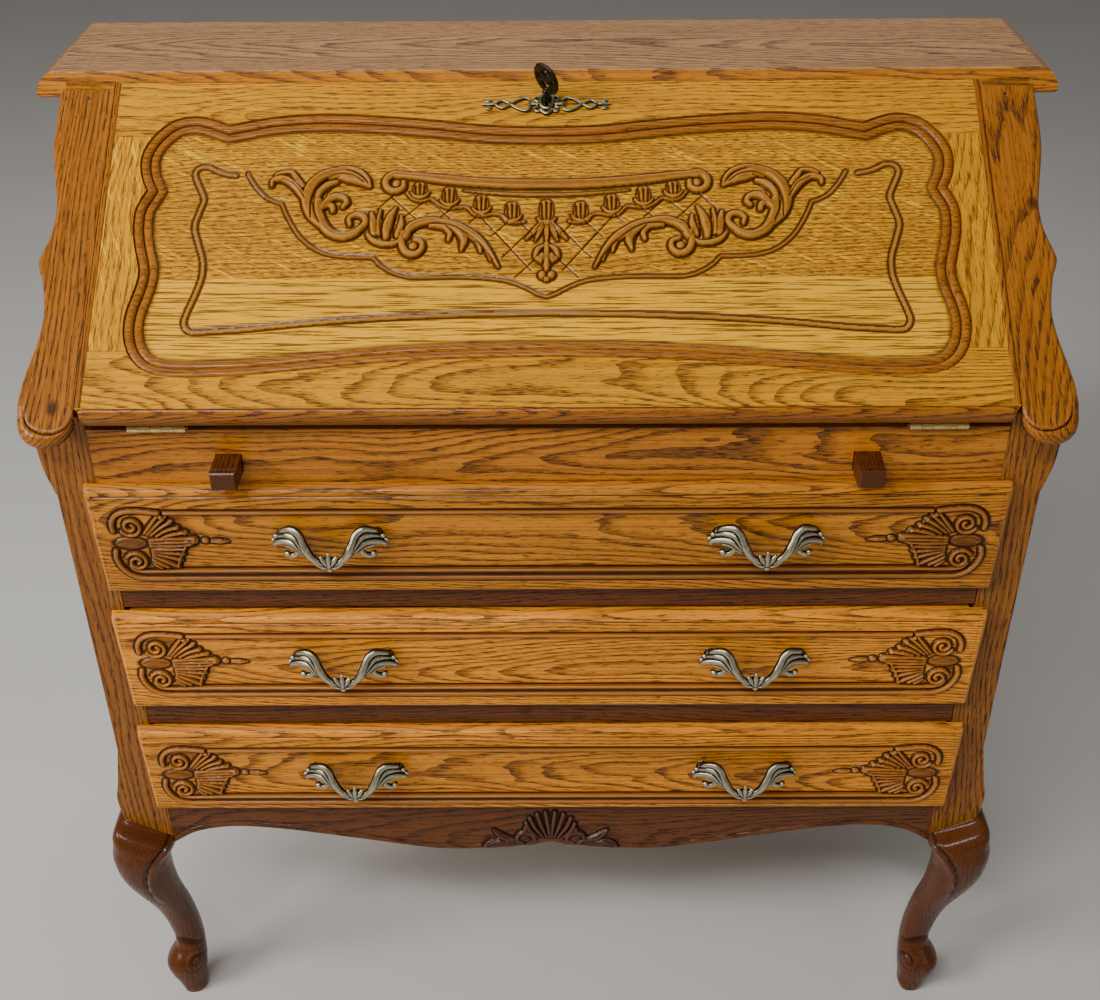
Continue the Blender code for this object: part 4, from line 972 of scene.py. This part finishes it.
def escutcheon():
    """Pierced strapwork plate: two crossing strands each side of the keyhole, ending in a fleur."""
    middle = KEY_S - 5.0              # the arms are centred a little below the key
    rise = 1.35
    parts = []

    def wire(points, radius, steps=5, closed=False):
        path = curve_through([(x, y, rise) for x, y in points], steps, closed)
        parts.append(tube(path, radius, 8, 1.05, closed))

    for sign in (-1, 1):
        strand = [(16.5, 0), (15.4, 2.8), (17, 6), (21, 7.2), (27, 5), (32, 1.6), (37, -2), (42, -4.2),
                  (46.5, -2.2), (47.6, 0)]
        for flip in (-1, 1):
            wire([(sign * x, middle + flip * y) for x, y in strand], 1.7)
            wire([(sign * (8.5 + 2.6 * math.cos(a)), middle + flip * (5.6 + 2.8 * math.sin(a)))
                  for a in np.radians((-100, -30, 50, 120, 180))], 1.6)
            parts.append(ball((sign * 55, middle + flip * 4.1, rise), 2.9, (1.25, 0.8, 0.5)))
        wire([(sign * 8, middle), (sign * 12, middle), (sign * 16.5, middle)], 1.7)
        wire([(sign * 47, middle), (sign * 52, middle), (sign * 61.5, middle)], [1.6, 1.9, 1.0])
        parts.append(ball((sign * 32, middle, rise), 2.0, (1, 1, 0.6)))
        wire([(sign * 3.6, middle - 9), (sign * 3.7, middle - 3), (sign * 4.4, middle + 1)], 1.7)
    ring = [(6.0 * math.cos(a), middle + 3.2 + 7.9 * math.sin(a)) for a in np.radians(np.arange(0, 360, 20))]
    wire(ring, 2.5, 3, True)
    wire([(-5.5, middle - 6.5), (0, middle - 10.5), (5.5, middle - 6.5)], 2.3)
    # the last value lowers sides turned from the front: painted shade
    mesh = cast_mesh("escutcheon_casting", parts, 0.42, AGED_BRASS, 1, 4, 0.32, 0.4)
    placed("escutcheon_cast", mesh, SLOPED, "fall", AGED_BRASS, ["escutcheon"])


def key():
    """Key with an oval bow filled with leaves; x lies across the bow and z along the stem."""
    parts = []

    def bar(points, radius, steps=6, closed=False, flat=1.0):
        path = curve_through([(x, 0, z) for x, z in points], steps, closed)
        parts.append(turned_tube(path, radius, closed, flat))

    bar([(0, -22), (0, -5), (0, 8), (0, 16)], [2.7, 2.7, 2.8, 3.0])
    parts.append(box_part((0.7, -1.2, -21.3), (7.3, 1.2, -16.5)))
    for z, radius in ((2.8, 4.2), (5.0, 3.5), (13.5, 4.3), (16.5, 3.6)):
        parts.append(ball((0, 0, z), radius, (1, 1, 0.42)))
    ring = [(12.0 * math.cos(a), 33 + 15.8 * math.sin(a)) for a in np.radians(np.arange(-90, 270, 24))]
    bar(ring, 2.8, 4, True, 0.8)
    bar([(-9, 27), (-3, 31), (3, 35), (9, 39)], [2.0, 2.9, 2.9, 2.0])
    bar([(9, 27), (3, 31), (-3, 35), (-9, 39)], [2.0, 2.9, 2.9, 2.0])
    for sign in (-1, 1):
        bar([(sign * 2.0, 19.5), (sign * 6.5, 23), (sign * 6.0, 28.5), (sign * 2.4, 28.5)],
            [2.4, 2.8, 2.4, 1.8])
        bar([(sign * 1.5, 46.0), (sign * 6.4, 43), (sign * 6.6, 37.5), (sign * 3, 37)], [2.4, 2.8, 2.4, 1.8])
        for angle in (-62, -38, -12, 14, 40, 64):
            a = math.radians(angle)
            parts.append(ball((sign * 13.2 * math.cos(a), 0, 33 + 17.2 * math.sin(a)), 2.2, (1, 0.8, 1)))
    parts.append(ball((0, 0, 50.0), 2.0, (1.2, 0.8, 1)))
    mesh = cast_mesh("key_casting", parts, 0.45, BRONZE, 1, 3, 0.45)
    place = SLOPED @ Matrix.Translation((0, KEY_S * MM, 0)) @ Matrix.Rotation(math.radians(138.0), 4, "Z")
    placed("key_cast", mesh, place, "key", BRONZE, ["key"])


def turned_tube(path, radius, closed, flat):
    """Bar that lies in the x-z plane; flat squeezes it across that plane."""
    swapped = path[:, (0, 2, 1)]
    verts, faces = tube(swapped, radius, 10, flat, closed)
    return verts[:, (0, 2, 1)], faces


# --- fall's edges, wings, apron, legs ------------------------------------------------------------

def fall_nosing():
    """Bullnose along the fall's foot with a fine line where it meets the rail."""
    turns = np.radians(np.arange(90, -91, -10))
    bull = [(-1.1 - 7.1 * math.cos(a), -12.5 + 12.3 * math.sin(a)) for a in turns]
    profile = [(0.0, -25.0), (0.0, -0.9), (-0.5, -1.3), (-0.9, -0.8)] + bull
    xs = np.concatenate([[-409.6, -409.0, -407.6, -405], np.linspace(-400, 400, 9),
                         [405, 407.6, 409.0, 409.6]])
    inset = np.interp(np.abs(xs), [405, 407.6, 409.0, 409.6], [1.0, 0.93, 0.8, 0.6])
    verts = []
    for x, part in zip(xs, inset):
        for s, n in profile:
            verts.append((x, s * part, -12.5 + (n + 12.5) * (0.3 + 0.7 * part)))
    material = oak("oak_nosing", *CASE, seed=19, pith=(0, 0.05, -0.07), figure=0.5)
    piece("fall_nosing_moulded", verts, tube_faces(len(xs), len(profile), False), SLOPED, "fall", material,
          ["fall_nosing"], 30.0)


def lip_strips():
    """Thin darker lip along each end of the fall."""
    for side, sign in SIDES:
        verts, faces = [], []
        profile = [(411.9, -3.0), (411.9, 0.1), (411.2, 0.6), (407.6, 0.6), (406.8, 0.1), (406.8, -3.0)]
        stations = np.linspace(1.0, 343.0, 12)
        for s in stations:
            verts += [(sign * x, s, n) for x, n in profile]
        material = oak("oak_lip_" + side, *CASE, "Y", seed=40 + sign, pith=(0.36 * sign, 0, -0.04))
        piece("fall_lip_" + side, verts, tube_faces(len(stations), len(profile), False), SLOPED, "fall",
              material)


# middle and half sizes of a wing's nose, and the outer edge above it
NOSE_X, NOSE_S, NOSE_RX, NOSE_RS = 438.3, -8.0, 25.2, 24.0
WING_EDGE = [(463.5, -8), (462.5, 20), (458.5, 43), (453.6, 67), (451.3, 94), (456.5, 127), (461, 140),
             (462.5, 151), (455, 178), (453.4, 204), (457.5, 230), (464, 268), (465, 300), (465, 345.5)]
# line between the wing's face and the bead round its nose
WING_QUIRK = [(456.5, 12), (456, 2), (454.5, -7), (452, -12.8), (447, -17.6), (439, -21.2), (430, -22.2),
              (422, -19.6), (416.5, -14), (413.6, -7), (412.5, 2), (412.2, 12)]


def within(outline, x, y):
    """Whether each point lies inside a closed outline."""
    inside = np.zeros(x.shape, bool)
    for (ax, ay), (bx, by) in zip(outline, np.roll(outline, -1, 0)):
        if ay != by:
            inside ^= ((ay > y) != (by > y)) & (x < ax + (bx - ax) * (y - ay) / (by - ay))
    return inside


def wings():
    """Shaped stiles beside the fall; a quirked bead runs round each nose and fades up its edge."""
    edge = curve_through(WING_EDGE, 6)
    nose = arc(NOSE_X, NOSE_S, NOSE_RX, 180, 360, 28, NOSE_RS)
    border = np.vstack([nose, edge[1:]])
    turn = np.radians(np.linspace(89.4, 2.5, 34))
    rows = np.concatenate([NOSE_S - NOSE_RS * np.sin(turn), np.arange(NOSE_S, 60, 1.0),
                           np.arange(60, 345.6, 1.7), [345.7]])
    across = np.concatenate([np.linspace(0, 0.55, 26, endpoint=False), np.linspace(0.55, 1, 34)])
    drop = np.clip((NOSE_S - rows) / NOSE_RS, 0, 1)
    half = NOSE_RX * np.sqrt(1 - drop ** 2)
    inner = np.where(rows < NOSE_S, NOSE_X - half, 412.8)
    outer = np.where(rows < NOSE_S, NOSE_X + half, np.interp(rows, edge[:, 1], edge[:, 0]))
    bend = np.where(rows < NOSE_S, 1.0, np.exp(-(rows - NOSE_S) / 6.0))
    spread = 0.5 - 0.5 * np.cos(np.pi * across)
    grid = across[None, :] * (1 - bend[:, None]) + spread[None, :] * bend[:, None]
    x = inner[:, None] + (outer - inner)[:, None] * grid
    s = np.repeat(rows[:, None], len(across), 1)
    shape = Relief(x, s, np.zeros_like(x))
    d, _ = shape.nearest(border)
    bead = np.clip((4.0 - s) / 15.0, 0, 1)
    plain = -4.5 * (1 - np.sqrt(1 - np.clip(1 - d / 4.5, 0, 1) ** 2))
    quirk = curve_through(WING_QUIRK, 8)
    far, _ = shape.nearest(quirk)
    inside = within(quirk, x, s)
    t = np.clip(d / (d + far + 1e-6), 0, 1)
    roll = -1.4 - 10.5 * (1 - np.sqrt(1 - (1 - t) ** 2)) - 1.8 * np.clip((t - 0.6) / 0.4, 0, 1) ** 2
    beaded = np.where(inside, 0.0, roll) - 0.9 * np.exp(-(far / 0.9) ** 2)
    level = plain * (1 - bead) + beaded * bead

    def undercut(points):
        """The bead rolls under: the foot of the nose is drawn in towards its middle."""
        middle = np.stack([np.sign(points[:, 0]) * NOSE_X, np.maximum(points[:, 1], NOSE_S)], 1)
        pull = 0.44 * np.clip((26 - points[:, 1]) / 34, 0, 1)[:, None]
        return points + (middle - points) * pull

    nail = np.hypot(x - 436, s - 327)
    level -= 1.6 * np.exp(-(nail / 1.7) ** 4)
    for side, sign in SIDES:
        r = Relief(x * sign, s, level)
        material = oak("oak_wing_" + side, *CASE, "Y", seed=44 + sign, pith=(0.39 * sign, 0, -0.09),
                       lean=(0, 0.05, 0.10), figure=0.4, carved=True, rings=95)
        knot_on(material, (-0.431, 0.001, 0) if side == "left" else (0.447, 0.205, 0))
        relief_piece("wing_" + side, r, SLOPED, "carcass", material,
                     ["slope_stile_" + side], -24.0, level, undercut=undercut)


def knot_on(material, spot):
    """Darken a small knot at a spot, with the colour drawn in round it."""
    n = Shader(material)
    color = n.principled.inputs["Base Color"].links[0].from_socket
    coords = n.add("TexCoord").outputs["Object"]
    offset = n.add("VectorMath", {0: coords, 1: spot}, operation="SUBTRACT").outputs[0]
    flat = n.add("VectorMath", {0: offset, 1: (1.5, 1.0, 0.0)}, operation="MULTIPLY").outputs[0]
    away = n.add("VectorMath", {0: flat}, operation="LENGTH").outputs["Value"]
    knot = n.math("MULTIPLY", n.step(away, 0.011, 0.003), 0.8)
    n.set(n.principled, {"Base Color": n.mix(knot, color, (0.025, 0.009, 0.004, 1))})


APRON_EDGE = [(0, 247), (35, 245), (72, 241), (128, 241.5), (211, 257), (290, 271.5), (344, 276),
              (385, 268.5), (412.2, 252)]
POST_FACE = -12.0
APRON_BACK = -34.0
APRON_TOP = 323.0


def apron():
    """Front apron: a bead along its serpentine edge and a shell between scrolls at its middle."""
    right = curve_through(APRON_EDGE, 8)
    xs = spaced([(-412.2, 3.0), (-90, 0.8), (90, 3.0), (412.2, 1)])
    arch = 5.2 * np.clip(1 - (xs / 17.0) ** 2, 0, 1) ** 0.7
    base = np.interp(np.abs(xs), right[:, 0], right[:, 1]) + arch
    rise = np.concatenate([np.linspace(0, 14, 22, endpoint=False), np.linspace(14, 83, 60)])
    part = (rise / rise[-1])[:, None]
    z = base[None, :] + part * (APRON_TOP - base)[None, :]
    x = np.repeat(xs[None, :], len(rise), 0)
    r = Relief(x, z, np.full_like(x, POST_FACE))
    edge = np.vstack([(right * (-1, 1))[::-1], right[1:]])
    d, _ = r.nearest(edge)
    bead = np.clip((np.abs(x) - 66) / 8, 0, 1)
    u = np.clip((d - 4.0) / 3.6, -1, 1)
    r.height += bead * np.where(d < 7.6, 1.8 * np.sqrt(1 - u ** 2) - 1.5, 0)
    r.height -= 1.0 * bead * np.exp(-((d - 8.2) / 0.7) ** 2) + rounded(d, 2.2, 1.6) * (1 - bead)

    pen = Pen(r, steps=5)
    volute = [(17.5, 256), (18.5, 263), (24, 267.5), (31, 267), (36, 262), (36, 256), (31, 252.5)]
    pen.bar(volute, [2.2, 2.5, 2.6, 2.4, 1.8], 3.0)
    pen.boss(28, 258.5, 6.6, 5.4, 2.2)
    pen.vein([(22.5, 257), (24, 262.5), (29, 264)], 0.7, 1.3)
    pen.bar([(37, 255), (44, 257), (52, 261), (58, 267), (61.5, 271)], [3.2, 3.8, 4.4, 3.8, 1.6],
            [2.6, 3.2, 2.6])
    pen.bar([(40, 251), (50, 251.5), (60, 252), (68, 250), (73, 245)], [3.0, 4.0, 4.6, 4.0, 1.6],
            [2.4, 3.0, 2.4])
    pen.bar([(30, 250.5), (40, 248.5), (52, 247.5), (64, 246.5)], [2.0, 2.6, 2.6, 2.0], [2.0, 2.4, 2.0])
    pen.vein([(46, 259), (52, 262.5), (57, 268)], 0.7, 1.4)
    pen.vein([(48, 254.5), (58, 255.5), (68, 251.5)], 0.7, 1.4)
    for angle, near, far in ((8, 6, 42), (23, 7, 42), (38, 9, 41.5), (51, 12, 39), (62, 15, 36)):
        a = math.radians(angle)
        start = (near * math.sin(a) * 1.5, 256 + near * math.cos(a) * 0.6)
        tip = (far * math.sin(a) * 0.86, 256 + far * math.cos(a))
        middle = (0.58 * (start[0] + tip[0]) - 0.9, 0.5 * (start[1] + tip[1]))
        pen.bar([start, middle, tip], [1.5, 2.3, 2.6], [1.8, 2.8, 3.0])
    # dark colours: painted shade under the lower drawer
    material = oak("oak_apron", *APRON_SHADED, seed=50, pith=(0, 0.25, -0.10), figure=0.45, carved=True)
    relief_piece("front_apron_carved", r, FRONT, "carcass", material, ["front_apron"],
                 APRON_BACK, r.heights(0.9, 1.4))


# height, centre across, centre in depth, half width
LEG_STATIONS = [(286, 439.5, 29.0, 25.8), (281, 442.2, 24.6, 28.0), (272, 445.0, 20.2, 29.3),
                (260, 446.6, 16.6, 30.0), (245, 449.3, 13.5, 31.0), (225, 450.2, 12.3, 28.6),
                (205, 448.2, 13.5, 26.2), (180, 443.2, 17.5, 22.4), (160, 438.5, 22.3, 19.9),
                (140, 434.2, 27.5, 18.4), (118, 430.6, 31.5, 17.3), (95, 427.7, 34.0, 16.6),
                (72, 426.0, 34.5, 16.2), (64, 426.4, 33.5, 16.6), (55, 429.2, 30.5, 19.9),
                (44, 432.2, 27.5, 22.8), (30, 431.2, 25.0, 20.8), (18, 429.0, 23.0, 17.0),
                (8, 427.0, 21.5, 14.8), (0, 427.0, 20.0, 12.0)]
LEG_HEAD = (288.7, 436.8, 32.0, 24.3)
POST_SLANT = 26.0
POST_BACK = 52.0
POST_EDGE = 412.7
REAR_DEPTH = 430.9
LEG_SIDES = 72


def leg_shape(rear):
    """Ring centres, half sizes, squareness and slant down the leg, finely spaced."""
    rows = []
    for z, x, y, half in [LEG_HEAD] + LEG_STATIONS:
        depth = 20.0 if z > 285 else min(half, POST_BACK - y)
        if rear:
            y, depth = REAR_DEPTH, min(half, 20.5)
        rows.append((z, x, y, half, depth))
    fine = curve_through(rows, 7)
    knee = np.clip((fine[:, 0] - 245.0) / 44.0, 0, 1)
    return fine, 2.4 + 3.6 * knee ** 2, (0.0 if rear else POST_SLANT) * knee


def leg_mesh(sign, rear):
    fine, power, slant = leg_shape(rear)
    sides = LEG_SIDES
    angles = 2 * np.pi * (np.arange(sides) + 0.5) / sides
    c, s = np.cos(angles), np.sin(angles)
    across = np.sign(c) * np.abs(c) ** (2.0 / power[:, None]) * fine[:, 3:4]
    along = np.sign(s) * np.abs(s) ** (2.0 / power[:, None]) * fine[:, 4:5]
    x = fine[:, 1:2] + across
    y = fine[:, 2:3] + along
    z = fine[:, 0:1] - slant[:, None] * (fine[:, 3:4] - across) / (2 * fine[:, 3:4])
    if not rear:
        ear = np.clip((z - 244) / 7.0, 0, 1) * np.clip(-across / fine[:, 3:4], 0, 1) ** 3
        x = x - ear * (fine[:, 1:2] - fine[:, 3:4] - POST_EDGE)
        shoulder = 2.0 * np.clip((288.7 - fine[:, 0:1]) / 6.0, 0, 1) ** 0.5 * np.exp(
            -(np.clip(276 - fine[:, 0:1], 0, 99) / 20.0) ** 2)
        y = y - shoulder * np.clip(-along / fine[:, 4:5], 0, 1)
        x = x + shoulder * np.clip(across / fine[:, 3:4], 0, 1)

    # how far each point faces forwards, and the carving on that face
    front = np.clip(-along / fine[:, 4:5], 0, 1) * np.ones_like(x)

    def ridge(points, width, rise):
        line = curve_through(points, 8)
        d, t = Relief(x, z, np.zeros_like(x)).nearest(line)
        fade = np.clip((1 - t) * 3, 0, 1) * (front > 0.1) * np.clip(front * 3, 0, 1)
        return rise * fade * np.exp(-(d / width) ** 2)

    push = ridge([(411, 262), (417, 255), (425, 247), (432.5, 236), (437, 223), (438.8, 209), (439, 194),
                  (437, 179), (432, 165)], 3.4, 3.2)
    groove = ridge([(411, 269), (419, 261), (429, 251.5), (437.5, 239), (442.2, 224), (443.8, 209),
                    (443.6, 193), (441, 176), (435, 160)], 2.0, -2.4)
    toe = 3.0 * np.exp(-((z - 52) / 13.0) ** 2) * front
    notch = -3.2 * np.exp(-((z - 78 - 0.35 * (x - 426)) / 4.2) ** 2) * front
    whorl_x, whorl_z = 417.5, 52.0
    radius = np.hypot(x - whorl_x, z - whorl_z)
    turn = np.arctan2(z - whorl_z, x - whorl_x)
    spiral = np.cos(turn - radius * 0.75)
    whorl = 1.3 * spiral * np.exp(-((radius - 7) / 6.0) ** 2) * (front > 0.15) * (radius < 17)
    if rear:
        push = groove = toe = notch = whorl = np.zeros_like(x)
    y = y - (push + groove + toe + notch + whorl)
    # shading for the leg's carving: painted shade in its groove, notch and whorl, paler with a painted
    # highlight on its ridge
    cavity = np.clip(0.5 + (push + groove) * 0.16 + notch * 0.14 + whorl * 0.3, 0, 1)
    rows = len(fine)
    verts = np.stack([sign * x, y, z], 2).reshape(-1, 3)
    extra = {"cavity": cavity.ravel(), "carved": np.zeros(rows * sides)}
    return verts, tube_faces(rows, sides, False), extra


def legs():
    for end, rear in (("front", False), ("rear", True)):
        for side, sign in SIDES:
            verts, faces, extra = leg_mesh(sign, rear)
            name = "%s_leg_%s" % (end, side)
            material = oak("oak_" + name, *LEG, "Z", seed=60 + sign + 3 * rear, figure=0.3,
                           pith=(0.40 * sign, 0.06, 0.1), lean=(0, 0.03, 0.05), carved=True, gloss=0.26,
                           pore_depth=0.45)
            piece(name + "_carved", verts, faces, LEVEL, "carcass", material, [name], 50.0, extra)


# --- studio --------------------------------------------------------------------------------------

def add_light(name, location, target, energy, size, color=(1, 1, 1)):
    light = bpy.data.lights.new(name, "AREA")
    light.energy = energy
    light.color = color
    light.shape = "RECTANGLE"
    light.size, light.size_y = size
    item = bpy.data.objects.new(name, light)
    bpy.context.scene.collection.objects.link(item)
    item.location = location
    item.rotation_euler = (Vector(target) - Vector(location)).to_track_quat("-Z", "Y").to_euler()


def studio():
    n = Shader(bpy.data.materials.new("pale_floor"))
    cloud = n.noise(n.add("TexCoord").outputs["Object"], (3, 3, 3), 3.0).outputs[0]
    n.set(n.principled, {"Base Color": n.mix(cloud, (0.60, 0.58, 0.55, 1), (0.66, 0.64, 0.61, 1)),
                         "Roughness": 0.75})
    mesh = bpy.data.meshes.new("studio_floor")
    mesh.from_pydata([(-6, -6, 0), (6, -6, 0), (6, 6, 0), (-6, 6, 0)], [], [(0, 1, 2, 3)])
    mesh.materials.append(n.material)
    floor = bpy.data.objects.new("studio_floor", mesh)
    bpy.context.scene.collection.objects.link(floor)
    world = bpy.data.worlds.new("studio_light")
    world.use_nodes = True
    world.node_tree.nodes["Background"].inputs[0].default_value = (1.0, 0.97, 0.93, 1)
    world.node_tree.nodes["Background"].inputs[1].default_value = 0.13
    bpy.context.scene.world = world
    add_light("window", (-2.8, -1.5, 2.3), (0, 0, 0.6), 88, (1.4, 1.2), (1.0, 0.98, 0.95))
    add_light("fill", (2.2, -2.4, 1.3), (0, 0, 0.4), 6, (1.6, 1.4), (1.0, 0.97, 0.94))
    add_light("strip", (-0.8, -1.9, 3.0), (0, 0, 0.5), 50, (1.8, 0.25))
    add_light("back", (0.0, 1.3, 2.4), (0, 0, 0.9), 14, (2.2, 0.8))


def camera():
    """Looks down on the desk from a standing person's height, a little right of its middle."""
    place = Vector((0.009079, FRONT_Y - 1.092825, 1.452577))
    pitch, yaw, roll = 0.59532, 0.006375, -0.007325
    facing = Matrix.Rotation(yaw, 3, "Z") @ Matrix.Rotation(math.pi / 2 - pitch, 3, "X")
    data = bpy.data.cameras.new("camera")
    data.sensor_fit = "HORIZONTAL"
    data.sensor_width = 36.0
    data.lens = 47.42
    item = bpy.data.objects.new("camera", data)
    bpy.context.scene.collection.objects.link(item)
    item.matrix_world = Matrix.Translation(place) @ (facing @ Matrix.Rotation(roll, 3, "Z")).to_4x4()
    bpy.context.scene.camera = item


BUILDERS = (fall_panel, fall_moulding, fall_nosing, lip_strips, wings, apron, legs, drawer_fronts, pulls,
            escutcheon, key)

camera()
studio()
dress_cad()
for build in BUILDERS:
    build()
